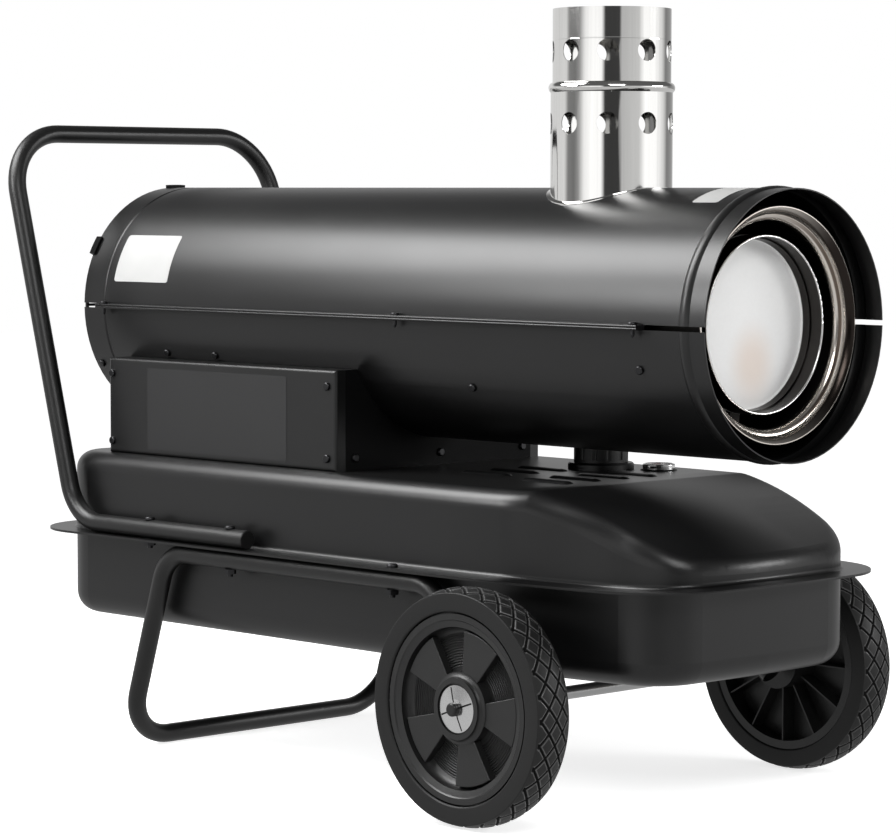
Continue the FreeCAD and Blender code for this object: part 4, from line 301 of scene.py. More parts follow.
def tread_rubber(name):
    """Matt rubber, with painted shade in the grooves of the tread and painted highlights along their edges.

    gap = distance from the middle of the nearest groove, 1 at the groove's edge
    """
    finish = Finish(name, Specular_IOR_Level=0.36)
    gap = finish.add("ShaderNodeAttribute", {"attribute_name": "gap"}, "Fac")
    # Painted shade: the grooves are coloured near black. Painted highlight: their edges are coloured pale.
    groove = gap.step(0.95, 0.6)
    edge = gap.band(0.8, 1.05, 1.2, 1.75)
    grain = finish.grain()
    rubber_with_painted_highlight = finish.mix(edge, grey(0.007), grey(0.085))
    finish.set(Base_Color=finish.mix(groove, rubber_with_painted_highlight, grey(0.001)))
    finish.set(Roughness=0.46 + 0.08 * grain + 0.4 * groove - 0.26 * edge)
    finish.bump(grain, GRAIN)
    return finish.material


def stained_disc(name):
    """Stainless drum: a pale matt front disc stained brown by heat, painted shade on the collar round it, a
    bright rim.
    """
    finish = Finish(name)
    ahead, side, up = finish.axes(STAIN)
    stain = ((side * side + up * up * 0.7) ** 0.5).step(0.042, 0.006)
    disc = abs(ahead).step(0.0025, 0.0015)
    shaded_collar = ahead.band(0.0015, 0.0025, 0.0236, 0.0242)
    streak = finish.noise(300.0, 2.0, 0.6)
    bright = finish.mix(streak, (0.83, 0.83, 0.825), (0.88, 0.88, 0.875))
    # Painted shade: the collar inside the recess is coloured near black.
    with_painted_shade = finish.mix(shaded_collar, bright, (0.045, 0.042, 0.04))
    finish.set(Base_Color=finish.mix(stain * disc * 0.85, with_painted_shade, (0.78, 0.68, 0.61)))
    finish.set(Metallic=1 - disc * 0.9, Roughness=0.16 + 0.34 * disc + 0.14 * shaded_collar + 0.04 * streak)
    return finish.material


def heat_tinted(name):
    """Rolled outlet ring: pale, with an inner and an outer band tinted by heat, more so on the left side."""
    finish = Finish(name, Metallic=1.0)
    _, side, up = finish.axes((0, 0, AXIS_Z))
    radius = reach(side, up)
    inner = radius.band(0.1018, 0.103, 0.1052, 0.1062)
    outer = radius.band(0.1066, 0.1074, 0.1129, 0.1134)
    left = side.step(-0.02, 0.085)
    streak = finish.streaks()
    pale = finish.mix(streak, (0.78, 0.72, 0.66), (0.84, 0.79, 0.73))
    warm = finish.mix(inner * (0.15 + 0.8 * left), pale, (0.13, 0.095, 0.072))
    finish.set(Base_Color=finish.mix(outer * (0.25 + 0.73 * left), warm, (0.016, 0.011, 0.009)))
    finish.set(Roughness=0.2 + 0.06 * streak)
    return finish.material


def axle_steel(name):
    """Drawn bar whose ends outside the hub plates are capped in black."""
    finish = Finish(name)
    tip = abs(finish.axes()[1]).step(0.2587, 0.2589)
    finish.set(Base_Color=finish.mix(tip, grey(0.42), grey(0.006)))
    finish.set(Metallic=1 - tip, Roughness=0.26 + 0.06 * finish.streaks(ALONG_Y) + 0.1 * tip)
    return finish.material


def scaled_cover(name, colour, roughness):
    """Powder coat with a printed scale of short white strokes round the knob, open at the bottom."""
    finish = Finish(name)
    across, side, up = finish.axes(KNOB)
    turn = across.maths("ARCTAN2", across, up)
    swept = abs(turn).step(math.radians(140), math.radians(138))
    ring = reach(across, up).band(0.0192, 0.0195, 0.0233, 0.0236)
    outside = side.step(-0.0006, -0.0004)
    scale = strokes(turn - math.pi, 27, 0.88, 0.95) * ring * outside * swept
    finish.set(Base_Color=finish.mix(scale, colour, grey(0.7)))
    finish.set(Roughness=roughness - 0.03 + 0.06 * finish.noise(9.0, 3.0))
    finish.bump(finish.noise(900.0), PEEL)
    return finish.material


def marked_knob(name, colour):
    """Moulded knob with a white line on its top, at the low end of the scale."""
    finish = Finish(name)
    across, side, up = finish.axes(KNOB, (0, math.radians(-135), 0))
    line = abs(across).step(0.0009, 0.0006) * up.step(0.003, 0.0035) * side.step(0.0142, 0.0146)
    grain = finish.grain()
    finish.set(Base_Color=finish.mix(line, colour, WHITE_MARK), Roughness=0.4 + 0.1 * grain)
    finish.bump(grain, GRAIN)
    return finish.material


def marked_rocker(name, colour):
    """Moulded rocker with a white stroke on its upper half and a ring on its lower half."""
    finish = Finish(name)
    across, _, up = finish.axes(ROCKER)
    stroke = abs(across).step(0.0008, 0.0005) * up.band(0.0028, 0.0031, 0.0071, 0.0074)
    ring = reach(across, up + 0.0052).band(0.0013, 0.0016, 0.0022, 0.0025)
    marks = stroke.maths("MAXIMUM", stroke, ring)
    finish.set(Base_Color=finish.mix(marks, colour, WHITE_MARK), Roughness=0.2 + 0.1 * finish.grain())
    return finish.material


def dialled_cup(name):
    """Bright gauge cup whose floor is a pale dial with a stroke every 20 degrees of the pointer's sweep."""
    finish = Finish(name)
    across, side, up = finish.axes(GAUGE)
    radius = reach(across, side)
    dial = radius.step(0.0137, 0.0134) * up.step(0.0016, 0.0014)
    turn = side.maths("ARCTAN2", side, across)
    swept = turn.band(*np.radians((-5, -4, 124, 125)))
    marks = strokes(turn, 20, 0.86, 0.94) * swept * radius.band(0.0096, 0.0098, 0.0125, 0.0127)
    face = finish.mix(marks, (0.8, 0.8, 0.78), grey(0.02))
    finish.set(Base_Color=finish.mix(dial, grey(0.8), face), Metallic=1 - dial)
    finish.set(Roughness=0.05 + 0.02 * finish.streaks() + 0.4 * dial)
    return finish.material


def clear_lens(name):
    """Clear cover of the gauge, slightly clouded."""
    finish = Finish(name, Base_Color=(*grey(0.9), 1.0), Alpha=0.12)
    finish.set(Roughness=0.03 + 0.05 * finish.noise(200.0))
    return finish.material


class HeaterColours(bpy.types.PropertyGroup):
    """Colours of the finishes that show most."""
    paint: bpy.props.FloatVectorProperty(
        name="Paint", description="Powder coat of the casing, box and tank",
        default=(0.004, 0.004, 0.0042), subtype="COLOR")
    tube: bpy.props.FloatVectorProperty(
        name="Tube", description="Powder coat of the handle and the frame",
        default=grey(0.004), subtype="COLOR")
    stainless: bpy.props.FloatVectorProperty(
        name="Stainless", description="Polished steel of the flue",
        default=(0.80, 0.795, 0.78), subtype="COLOR")
    plastic: bpy.props.FloatVectorProperty(
        name="Plastic", description="Plastic of the cap, knob and plugs",
        default=grey(0.006), subtype="COLOR")
    rocker: bpy.props.FloatVectorProperty(
        name="Rocker", description="Plastic of the power rocker",
        default=(0.4, 0.012, 0.01), subtype="COLOR")
    paper: bpy.props.FloatVectorProperty(
        name="Paper", description="Paper of the blank labels",
        default=(0.42, 0.42, 0.415), subtype="COLOR")


def finishes(colours):
    """Every finish of the heater by name."""
    return {
        "casing": satin_paint("casing_paint", colours.paint, 0.34),
        "tray": satin_paint("tray_paint", colours.paint, 0.34, shine=0.06),
        "tank": crowned_paint("tank_paint", colours.paint, 0.34),
        "cover": scaled_cover("cover_paint", colours.paint, 0.34),
        "tube": satin_paint("tube_paint", colours.tube, 0.38),
        "motor": satin_paint("motor_paint", (0.14, 0.145, 0.15), 0.45, height=0.00003),
        "flue": plain_metal("mirror_stainless", colours.stainless, 0.07, ALONG_Z, 0.03),
        "ring": heat_tinted("tinted_ring"),
        "drum": stained_disc("drum_stainless"),
        "soot": plain_metal("sooted_steel", (0.05, 0.047, 0.045), 0.5),
        "zinc": plain_metal("zinc_coat", (0.55, 0.55, 0.56), 0.4),
        "steel": axle_steel("drawn_steel"),
        "hub": plain_metal("hub_zinc", grey(0.75), 0.25),
        "brass": plain_metal("plain_brass", (0.7, 0.5, 0.22), 0.25),
        "copper": plain_metal("drawn_copper", (0.7, 0.36, 0.2), 0.3),
        "alloy": plain_metal("pressed_alloy", (0.7, 0.7, 0.71), 0.35),
        "screw": plain_metal("black_oxide", (0.05, 0.05, 0.052), 0.35),
        "plastic": moulded_plastic("moulded_black", colours.plastic, 0.45),
        "paper": moulded_plastic("blank_paper", colours.paper, 0.5),
        "panel": moulded_plastic("blank_panel", (0.010, 0.010, 0.0105), 0.5),
        "pointer": moulded_plastic("pointer_plastic", (0.5, 0.02, 0.012), 0.35),
        "board": moulded_plastic("board_resist", (0.02, 0.16, 0.06), 0.3),
        "rim": rim_plastic("rim_moulding"),
        "rubber": tread_rubber("tread_rubber"),
        "rocker": marked_rocker("rocker_plastic", colours.rocker),
        "knob": marked_knob("knob_plastic", colours.plastic),
        "gauge": dialled_cup("gauge_cup"),
        "lens": clear_lens("gauge_cover"),
    }


# The blank labels take paper and panel, which no solid has
FINISH_OF = {
    "casing": ["upper_shell", "lower_shell", "right_side_cover", "tank_lower", "motor_shelf",
               "rear_guard", "guard_hooks", "filler_neck"],
    "tray": ["box_tray"],
    "tank": ["tank_upper"],
    "cover": ["left_side_cover"],
    "tube": ["handle_tube", "frame_tube"],
    "motor": ["motor", "fuel_pump"],
    "flue": ["flue_pipe", "flue_stub"],
    "ring": ["outlet_ring"],
    "drum": ["combustion_drum"],
    "soot": ["inner_liner", "liner_standoffs", "drum_brackets"],
    "zinc": ["burner_tube", "swirl_disc", "electrodes", "fuel_strainer", "axle_sleeves"],
    "steel": ["axle", "motor_shaft"],
    "hub": ["left_hub_plate", "right_hub_plate"],
    "brass": ["nozzle_holder", "drain_plug"],
    "copper": ["delivery_pipe", "suction_pipe"],
    "alloy": ["fan"],
    "screw": ["seam_screws", "casing_screws", "box_screws", "tube_bolts", "tube_nuts"],
    "plastic": ["rocker_frame", "cord_gland", "filler_cap", "handle_plugs", "ignition_transformer"],
    "pointer": ["gauge_pointer"],
    "board": ["control_board"],
    "rim": ["left_wheel_rim", "right_wheel_rim"],
    "rubber": ["left_tyre", "right_tyre"],
    "rocker": ["power_rocker"],
    "knob": ["thermostat_knob"],
    "gauge": ["gauge_bezel"],
    "lens": ["gauge_lens"],
}


class HEATER_OT_solids(bpy.types.Operator):
    """Give every solid its finish"""
    bl_idname = "heater.solids"
    bl_label = "Finish the solids"

    def execute(self, context):
        made = finishes(context.scene.heater_colours)
        for name, members in FINISH_OF.items():
            for node in members:
                slots = NODES[node].data.materials
                slots.clear()
                slots.append(made[name])
        return {"FINISHED"}


# Meshes out of whole arrays

# Whether a sheet closes on itself along its rows and along its columns
OPEN = (False, False)
ROUND_ROWS = (True, False)
ROUND_COLUMNS = (False, True)


def grid_faces(rows, columns, closed, first):
    """Quads of a grid of points, wrapped where it is closed."""
    row = np.arange(rows if closed[0] else rows - 1)[:, None]
    column = np.arange(columns if closed[1] else columns - 1)[None, :]
    after = (row + 1) % rows
    beside = (column + 1) % columns
    corners = [row * columns + column, row * columns + beside,
               after * columns + beside, after * columns + column]
    return np.stack(corners, -1).reshape(-1, 4) + first


def solid_from(name, sheets, material):
    """One smooth mesh out of grids (rows, columns, 3), each with its pair of closed flags."""
    points, quads, first = [], [], 0
    for grid, closed in sheets:
        rows, columns = grid.shape[:2]
        points.append(grid.reshape(-1, 3))
        quads.append(grid_faces(rows, columns, closed, first))
        first += rows * columns
    points = np.concatenate(points)
    quads = np.concatenate(quads)
    mesh = bpy.data.meshes.new(name)
    mesh.vertices.add(len(points))
    mesh.vertices.foreach_set("co", points.astype(np.float32).ravel())
    mesh.loops.add(quads.size)
    mesh.loops.foreach_set("vertex_index", quads.astype(np.int32).ravel())
    mesh.polygons.add(len(quads))
    mesh.polygons.foreach_set("loop_start", np.arange(0, quads.size, 4, dtype=np.int32))
    mesh.polygons.foreach_set("use_smooth", np.ones(len(quads), dtype=bool))
    mesh.update(calc_edges=True)
    mesh.materials.append(material)
    item = bpy.data.objects.new(name, mesh)
    bpy.context.scene.collection.objects.link(item)
    return item


def piece(name, sheets, finish, body, slot, *nodes):
    """A fine piece that rides a body, takes a finish and may stand for CAD nodes."""
    item = solid_from(name, sheets, bpy.data.materials[finish])
    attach(item, body)
    if nodes:
        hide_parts(*nodes)
    return item


def smooth(value, low, high):
    """0 at low, 1 at high, eased between; works on arrays and either way round."""
    share = np.clip((value - low) / (high - low), 0, 1)
    return share * share * (3 - 2 * share)


def round_casing(x, radius, angle):
    """Points round the casing's axis: y = -r cos(a), z = axis + r sin(a)."""
    return np.stack([x, -radius * np.cos(angle), AXIS_Z + radius * np.sin(angle)], -1)


# Tyres

# Points of a tyre: along half the tread, round an edge, and along the rim for each diamond
TREAD_POINTS = 33
EDGE_POINTS = 6
DIAMOND_STEPS = 36
# Distances from the tread's lip where the grooves end and where they are whole, and of the wall's first row
GROOVE_END = 0.0004
GROOVE_WHOLE = 0.0016
WALL_START = 0.0004
# In half widths of a groove: half its flat floor, and the gap that counts as far from every groove
GROOVE_FLOOR = 0.4
FAR = 4.0


class HeaterTyres(bpy.types.PropertyGroup):
    """Sizes of the treaded tyres."""
    radius: bpy.props.FloatProperty(
        name="Radius", description="Radius at the middle of the tread", default=0.115, unit="LENGTH")
    crown: bpy.props.FloatProperty(
        name="Crown", description="Rise of the tread over its lips", default=0.004, unit="LENGTH")
    lip: bpy.props.FloatProperty(
        name="Lip", description="Size of the lip between tread and wall", default=0.0012, unit="LENGTH")
    seat: bpy.props.FloatProperty(
        name="Seat", description="Radius of the rim's seat", default=0.09256, unit="LENGTH")
    bead: bpy.props.FloatProperty(
        name="Bead", description="Round of the edges beside the rim", default=0.0022, unit="LENGTH")
    inner: bpy.props.FloatProperty(
        name="Inner face", description="Distance of the inner wall from the middle",
        default=0.218, unit="LENGTH")
    width: bpy.props.FloatProperty(
        name="Width", description="Width of the tyre", default=0.042, unit="LENGTH")
    lugs: bpy.props.IntProperty(
        name="Diamonds", description="Diamonds of the tread round the tyre", default=30)
    pitch: bpy.props.FloatProperty(
        name="Pitch", description="Height of a diamond across the tyre", default=0.0175, unit="LENGTH")
    groove: bpy.props.FloatProperty(
        name="Groove", description="Width of a groove", default=0.0031, unit="LENGTH")
    depth: bpy.props.FloatProperty(
        name="Depth", description="Depth of a groove", default=0.0022, unit="LENGTH")


class HEATER_OT_tyres(bpy.types.Operator):
    """Rubber tyres with a lattice tread"""
    bl_idname = "heater.tyres"
    bl_label = "Tyres"

    def section(self, size):
        """Half outline from the middle of the tread to the seat: place across, radius, share of the relief.

        tread: r(y) = R - C + sqrt(C^2 - y^2), a circle of radius C through the middle and the lips;
        then a quarter round at the lip, the straight wall and a quarter round beside the rim
        """
        half = size.width / 2
        edge = half - size.lip
        bend = (edge ** 2 + size.crown ** 2) / (2 * size.crown)
        tread = np.linspace(0, edge, TREAD_POINTS)
        turn = np.linspace(0, math.pi / 2, EDGE_POINTS)[1:]
        wall = size.radius - size.crown - size.lip
        low = size.seat + size.bead
        place = np.concatenate([
            tread,
            half - size.lip * (1 - np.sin(turn)),
            [half, half],
            half - size.bead * (1 - np.cos(turn)),
        ])
        radius = np.concatenate([
            size.radius - bend + np.sqrt(bend ** 2 - tread ** 2),
            wall + size.lip * np.cos(turn),
            [wall - WALL_START, low],
            low - size.bead * np.sin(turn),
        ])
        grooved = smooth(tread, edge - GROOVE_END, edge - GROOVE_WHOLE)
        share = np.concatenate([grooved, np.zeros(len(place) - len(tread))])
        return place, radius, share

    def execute(self, context):
        """r = R(y) - depth g(turn, y), g = the two slanted families of grooves of the lattice."""
        size = context.scene.heater_tyres
        place, radius, share = [np.concatenate([sign * half[:0:-1], half])
                                for half, sign in zip(self.section(size), (-1, 1, 1))]
        turn = np.linspace(0, 2 * math.pi, DIAMOND_STEPS * size.lugs + 1)[:-1, None]
        ring = turn * size.lugs / (2 * math.pi)
        steep = math.hypot(size.lugs / (2 * math.pi * size.radius), 1 / size.pitch)
        slants = np.stack([ring + place / size.pitch, ring - place / size.pitch])
        gap = np.abs(slants - np.round(slants)).min(0) / steep / (size.groove / 2)
        out = radius - smooth(gap, 1.0, GROOVE_FLOOR) * share * size.depth
        gap = np.minimum(gap, FAR) * share + FAR * (1 - share)
        for side, sign in (("left", 1), ("right", -1)):
            y = np.broadcast_to(sign * (size.inner + size.width / 2 + place), out.shape)
            grid = np.stack([AXLE[0] + out * np.cos(turn), y, AXLE[2] + out * np.sin(turn)], -1)
            item = piece(side + "_treaded_tyre", [(grid[:, ::-sign], ROUND_ROWS)], "tread_rubber",
                         side + "_wheel", "tyre_rubber", side + "_tyre")
            lattice = item.data.attributes.new("gap", "FLOAT", "POINT")
            lattice.data.foreach_set("value", gap[:, ::-sign].astype(np.float32).ravel())
        return {"FINISHED"}


# Blank labels

# Labels on the casing: name, middle along the casing, length, angles of the lower and upper edge
LABELS = (
    ("rating_label", -0.329, 0.092, (12.0, 36.5)),
    ("front_sticker", 0.4355, 0.033, (63.0, 87.0)),
)
# Panel on the right side of the box: its middle, its length and height
PANEL_PLACE = (-0.1765, -0.1502, 0.3675)
PANEL_SIZE = (0.229, 0.089)
# Points of a label or panel
PATCH_ROWS = 24
PATCH_COLUMNS = 25


def rounded_patch(length, height, corner):
    """Flat rounded rectangle as a grid of (along, up) pairs: each row is as long as the corners leave it.

    half(v) = length / 2 - corner + sqrt(corner^2 - max(0, corner - edge)^2),
    edge = distance to the nearer long side
    """
    up = (1 - np.cos(np.linspace(0, math.pi, PATCH_ROWS))) / 2 * height
    edge = np.minimum(up, height - up)
    rounding = np.sqrt(np.maximum(corner ** 2 - np.maximum(corner - edge, 0) ** 2, 0))
    half = length / 2 - corner + rounding
    along = np.linspace(-1, 1, PATCH_COLUMNS)[None, :] * half[:, None]
    return along, np.repeat(up[:, None] - height / 2, PATCH_COLUMNS, axis=1)


class HeaterLabels(bpy.types.PropertyGroup):
    """Sizes of the blank labels."""
    radius: bpy.props.FloatProperty(
        name="Casing radius", description="Radius the curved labels lie on",
        default=0.1317, unit="LENGTH")
    corner: bpy.props.FloatProperty(
        name="Corner", description="Corner radius of the labels", default=0.003, unit="LENGTH")


class HEATER_OT_labels(bpy.types.Operator):
    """Blank paper labels on the casing and a blank panel on the box"""
    bl_idname = "heater.labels"
    bl_label = "Labels"

    def curved(self, name, middle, length, angles, size):
        """Rounded patch bent round the casing: angle = middle + up / R."""
        low, high = np.radians(angles)
        along, up = rounded_patch(length, (high - low) * size.radius, size.corner)
        angle = (low + high) / 2 + up / size.radius
        grid = round_casing(middle + along, size.radius, angle)
        piece(name, [(grid, OPEN)], "blank_paper", "chassis", "black_paint")

    def execute(self, context):
        size = context.scene.heater_labels
        for label in LABELS:
            self.curved(*label, size)
        along, up = rounded_patch(*PANEL_SIZE, size.corner)
        x, y, z = PANEL_PLACE
        grid = np.stack([x + along, np.full(along.shape, y), z + up], -1)
        piece("notice_panel", [(grid, OPEN)], "blank_panel", "chassis", "black_paint")
        return {"FINISHED"}


# Hooks of the rear guard

# Gap between a hook and the casing's rear edge, and how far its leg reaches in behind that edge
HOOK_GAP = 0.0002
HOOK_DROP = 0.0075
# Points along a hook, and the distance under which two points are one
HOOK_POINTS = 9
SAME_POINT = 1e-6


class HeaterHooks(bpy.types.PropertyGroup):
    """Sizes of the hooks on the rear rim."""
    length: bpy.props.FloatProperty(
        name="Length", description="Reach along the casing", default=0.006, unit="LENGTH")
    width: bpy.props.FloatProperty(
        name="Width", description="Length along the rim", default=0.021, unit="LENGTH")
    thickness: bpy.props.FloatProperty(
        name="Thickness", description="Thickness of the strip", default=0.003, unit="LENGTH")
    spread: bpy.props.FloatProperty(
        name="Spread", description="Angle between two hooks", default=math.radians(60), subtype="ANGLE")


class HEATER_OT_hooks(bpy.types.Operator):
    """Short folded hooks over the rear rim"""
    bl_idname = "heater.hooks"
    bl_label = "Rim hooks"

    def carried(self, outline, angle):
        """Points of an outline (x, r) at each angle."""
        x = np.broadcast_to(outline[:, 0], (len(angle), len(outline)))
        return round_casing(x, outline[:, 1], angle)

    def execute(self, context):
        """An angle profile carried round the rim, with a flat cap at each end."""
        size = context.scene.heater_hooks
        radius = context.scene.heater_labels.radius
        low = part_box("guard_hooks")[0][0]
        face = low + size.thickness - HOOK_GAP
        foot = radius - HOOK_DROP
        top = radius + size.thickness
        front = face + size.length
        outer = np.array([(low, foot), (low, top), (front, top)])
        inner = np.array([(face, foot), (face, radius), (front, radius)])
        loop = np.concatenate([outer, inner[::-1]])
        half = size.width / (2 * radius)
        sheets = []
        for middle in (math.pi / 2 - size.spread, math.pi / 2, math.pi / 2 + size.spread):
            angle = middle + np.linspace(-half, half, HOOK_POINTS)[:, None]
            sheets.append((self.carried(loop, angle), ROUND_COLUMNS))
            for end in (angle[:1], angle[-1:]):
                cap = np.concatenate([self.carried(outer, end), self.carried(inner, end)])
                sheets.append((cap, OPEN))
        item = piece("rim_hooks", sheets, "tray_paint", "chassis", "black_paint", "guard_hooks")
        made = bmesh.new()
        made.from_mesh(item.data)
        bmesh.ops.remove_doubles(made, verts=made.verts, dist=SAME_POINT)
        bmesh.ops.recalc_face_normals(made, faces=made.faces)
        made.to_mesh(item.data)
        made.free()
        item.data.shade_flat()
        return {"FINISHED"}


# Stage

# Floor and dome in metres, the lift of the dome's lower edge in radians, and the dome's points
FLOOR_REACH = 9.0
DOME_RADIUS = 7.0
DOME_DIP = -0.12
DOME_COLUMNS = 96
DOME_ROWS = 40
# Strength of the world, other than to the camera, and level of the walls above their light sheets
AMBIENT = 0.35
DIM = 0.12
# The light sheets reach higher behind the heater by this share of the dome's radius
HIGHER_BEHIND = 0.27
# Light sheets of the studio: bearing round the heater from the camera's side, in degrees, and level
SURROUND = (
    (-180, 0.75), (-128, 0.8), (-101, 0.85), (-91, 0.25), (-76, 0.2), (-66, 0.35), (-54, 1.1),
    (-38, 1.35), (-21, 1.3), (-14, 0.05), (13, 0.05), (17, 0.6), (50, 0.72), (62, 1.35),
    (88, 1.3), (110, 0.8), (122, 0.25), (146, 0.35), (180, 0.75),
)
# Level that white on the ramp stands for, because a ramp's colours end at 1
RAMP_WHITE = 2.0
# Soft lights: name, place, target, direction of the long side, size, power
LAMPS = (
    ("key_light", (-0.9, -0.98, 1.9), (0.3, -0.1, 0.55), (1.15, -0.14, 0.24), (1.5, 0.9), 50.0),
    ("low_light", (-0.9, -1.7, 1.19), (0.4, -0.1, 0.45), (0.776, -0.631, 0.0), (0.8, 0.48), 14.5),
    ("fill_light", (2.4, -1.6, 2.2), (0.2, 0.0, 0.4), (0.6, 0.8, 0.0), (1.4, 1.0), 32.0),
    ("side_light", (2.3, 2.1, 1.3), (0.2, 0.0, 0.35), (-0.7, 0.7, 0.0), (1.4, 0.5), 26.0),
)


class HeaterStage(bpy.types.PropertyGroup):
    """Camera of the studio."""
    lens: bpy.props.FloatProperty(
        name="Lens", description="Focal length on a 36 mm sensor", default=134.0)
    eye: bpy.props.FloatVectorProperty(
        name="Eye", description="Camera place",
        default=(2.54305, -2.44747, 0.60275), subtype="TRANSLATION")
    heading: bpy.props.FloatProperty(
        name="Heading", description="Turn of the view to the left of straight ahead",
        default=math.radians(45.81), subtype="ANGLE")
    dip: bpy.props.FloatProperty(
        name="Dip", description="Downward tilt of the view",
        default=math.radians(3.875), subtype="ANGLE")
    roll: bpy.props.FloatProperty(
        name="Roll", description="Roll of the view", default=math.radians(0.114), subtype="ANGLE")


def lamp(name, place, target, along, size, power):
    """Rectangular soft light at a place, facing a target, its long side lying along a direction."""
    data = bpy.data.lights.new(name, "AREA")
    data.shape = "RECTANGLE"
    data.size, data.size_y = size
    data.energy = power
    item = bpy.data.objects.new(name, data)
    back = (Vector(place) - Vector(target)).normalized()
    right = Vector(along)
    right = (right - back * right.dot(back)).normalized()
    turn = Matrix((right, back.cross(right), back)).transposed().to_4x4()
    item.matrix_world = Matrix.Translation(place) @ turn
    bpy.context.scene.collection.objects.link(item)


def rays(tree, *kinds):
    """1 for rays of any of the named kinds."""
    found, *others = [Wire.add(tree, "ShaderNodeLightPath", output=kind) for kind in kinds]
    for other in others:
        found = found.maths("MAXIMUM", found, other)
    return found


def floor_finish():
    """Pale floor: white to the camera with a soft shadow, a mid grey in reflections."""
    material, tree, output = blank_material("pale_floor")
    matt = Wire.add(tree, "ShaderNodeBsdfDiffuse", None, {"Color": (0.8, 0.8, 0.8, 1)})
    glow = Wire.add(tree, "ShaderNodeEmission", None, {"Color": (1, 1, 1, 1), "Strength": 0.75})
    seen = Wire.add(tree, "ShaderNodeAddShader", None, {0: matt, 1: glow})
    mirrored = Wire.add(tree, "ShaderNodeEmission", None, {"Color": (0.62, 0.62, 0.62, 1)})
    kind = rays(tree, "Is Camera Ray", "Is Transmission Ray")
    plain = Wire.add(tree, "ShaderNodeMixShader", None, {0: kind, 1: matt, 2: seen})
    glossy = rays(tree, "Is Glossy Ray")
    mixed = Wire.add(tree, "ShaderNodeMixShader", None, {0: glossy, 1: plain, 2: mirrored})
    tree.links.new(mixed.socket, output.inputs["Surface"])
    return material


def surround_finish(heading):
    """Studio walls as metal mirrors them: light and dark sheets by bearing, dim higher up."""
    material, tree, output = blank_material("studio_walls")
    place = Wire.add(tree, "ShaderNodeTexCoord", output="Object")
    turned = Wire.add(tree, "ShaderNodeMapping", {"vector_type": "POINT"},
                      {"Vector": place, "Rotation": (0, 0, heading)})
    node = Wire.add(tree, "ShaderNodeSeparateXYZ", None, {"Vector": turned}).socket.node
    across, ahead, up = [Wire(tree, socket) for socket in node.outputs]
    bearing = across.maths("ARCTAN2", across, 0 - ahead) / (2 * math.pi) + 0.5
    stops = [(degrees / 360 + 0.5, grey(level / RAMP_WHITE)) for degrees, level in SURROUND]
    sheet = Wire.add(tree, "ShaderNodeValToRGB", {"stops": stops}, {"Fac": bearing})
    behind = (ahead / DOME_RADIUS).step(0.6, 0.95)
    height = (up / DOME_RADIUS - HIGHER_BEHIND * behind).step(0.42, 0.12)
    level = (sheet * RAMP_WHITE - DIM) * height + DIM
    glow = Wire.add(tree, "ShaderNodeEmission", None, {"Color": level})
    tree.links.new(glow.socket, output.inputs["Surface"])
    return material


def studio_world():
    """White world: full to the camera, weaker as light on the heater."""
    world = bpy.data.worlds.new("studio_world")
    world.use_nodes = True
    tree = world.node_tree
    background = tree.nodes["Background"]
    seen = rays(tree, "Is Camera Ray", "Is Transmission Ray")
    tree.links.new((AMBIENT + (1 - AMBIENT) * seen).socket, background.inputs["Strength"])
    background.inputs["Color"].default_value = (1, 1, 1, 1)
    return world


def studio_floor():
    """Square floor at z = 0."""
    x, y = np.meshgrid((-FLOOR_REACH, FLOOR_REACH), (-FLOOR_REACH, FLOOR_REACH))
    return solid_from("floor", [(np.stack([x, y, np.zeros_like(x)], -1), OPEN)], floor_finish())


def studio_walls(heading):
    """Dome that only reflections see: R (cos a cos b, sin a cos b, sin b)."""
    around = np.linspace(0, 2 * math.pi, DOME_COLUMNS + 1)[:-1]
    turn, lift = np.meshgrid(around, np.linspace(DOME_DIP, math.pi / 2, DOME_ROWS), indexing="ij")
    out = np.cos(lift)
    dome = DOME_RADIUS * np.stack([np.cos(turn) * out, np.sin(turn) * out, np.sin(lift)], -1)
    walls = solid_from("studio_walls", [(dome, ROUND_ROWS)], surround_finish(-heading))
    for kind in ("camera", "diffuse", "transmission", "volume_scatter", "shadow"):
        setattr(walls, "visible_" + kind, False)
    return walls


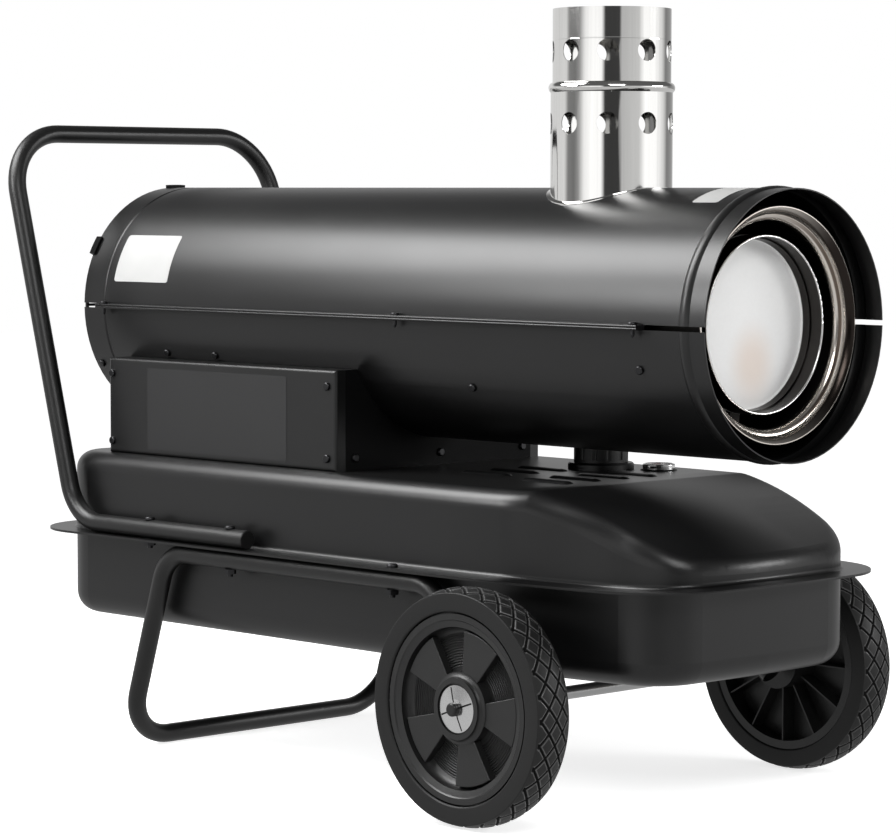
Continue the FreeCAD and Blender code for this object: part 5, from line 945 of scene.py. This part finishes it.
def photo_camera(props):
    """Camera at the eye: level and ahead along +Y, then dipped, turned and rolled."""
    data = bpy.data.cameras.new("photo_camera")
    data.sensor_width = 36.0
    data.lens = props.lens
    data.clip_end = 100.0
    camera = bpy.data.objects.new("photo_camera", data)
    turn = Matrix.Rotation(props.heading, 4, "Z") @ Matrix.Rotation(math.pi / 2 - props.dip, 4, "X")
    camera.matrix_world = Matrix.Translation(props.eye) @ turn @ Matrix.Rotation(props.roll, 4, "Z")
    bpy.context.scene.collection.objects.link(camera)
    return camera


class HEATER_OT_stage(bpy.types.Operator):
    """Floor, studio walls, soft lights and the camera"""
    bl_idname = "heater.stage"
    bl_label = "Stage"

    def execute(self, context):
        scene = context.scene
        scene.view_settings.view_transform = "Standard"
        scene.world = studio_world()
        floor = studio_floor()
        walls = studio_walls(scene.heater_stage.heading)
        for row in LAMPS:
            lamp(*row)
        scene.camera = photo_camera(scene.heater_stage)
        return {"FINISHED"}


class HEATER_PT_panel(bpy.types.Panel):
    """The heater's steps in the sidebar"""
    bl_idname = "HEATER_PT_panel"
    bl_label = "Heater"
    bl_space_type = "VIEW_3D"
    bl_region_type = "UI"
    bl_category = "Heater"

    def draw(self, context):
        for operator in OPERATORS:
            self.layout.operator(operator.bl_idname)


OPERATORS = [HEATER_OT_stage, HEATER_OT_solids, HEATER_OT_tyres, HEATER_OT_labels, HEATER_OT_hooks]
GROUPS = {
    "heater_stage": HeaterStage,
    "heater_colours": HeaterColours,
    "heater_tyres": HeaterTyres,
    "heater_labels": HeaterLabels,
    "heater_hooks": HeaterHooks,
}
CLASSES = [*GROUPS.values(), *OPERATORS, HEATER_PT_panel]


def register():
    for item in CLASSES:
        bpy.utils.register_class(item)
    for name, group in GROUPS.items():
        setattr(bpy.types.Scene, name, bpy.props.PointerProperty(type=group))


def unregister():
    for name in GROUPS:
        delattr(bpy.types.Scene, name)
    for item in reversed(CLASSES):
        bpy.utils.unregister_class(item)


def main():
    register()
    bpy.ops.heater.stage()
    bpy.ops.heater.solids()
    bpy.ops.heater.tyres()
    bpy.ops.heater.labels()
    bpy.ops.heater.hooks()


if __name__ == "__main__":
    main()
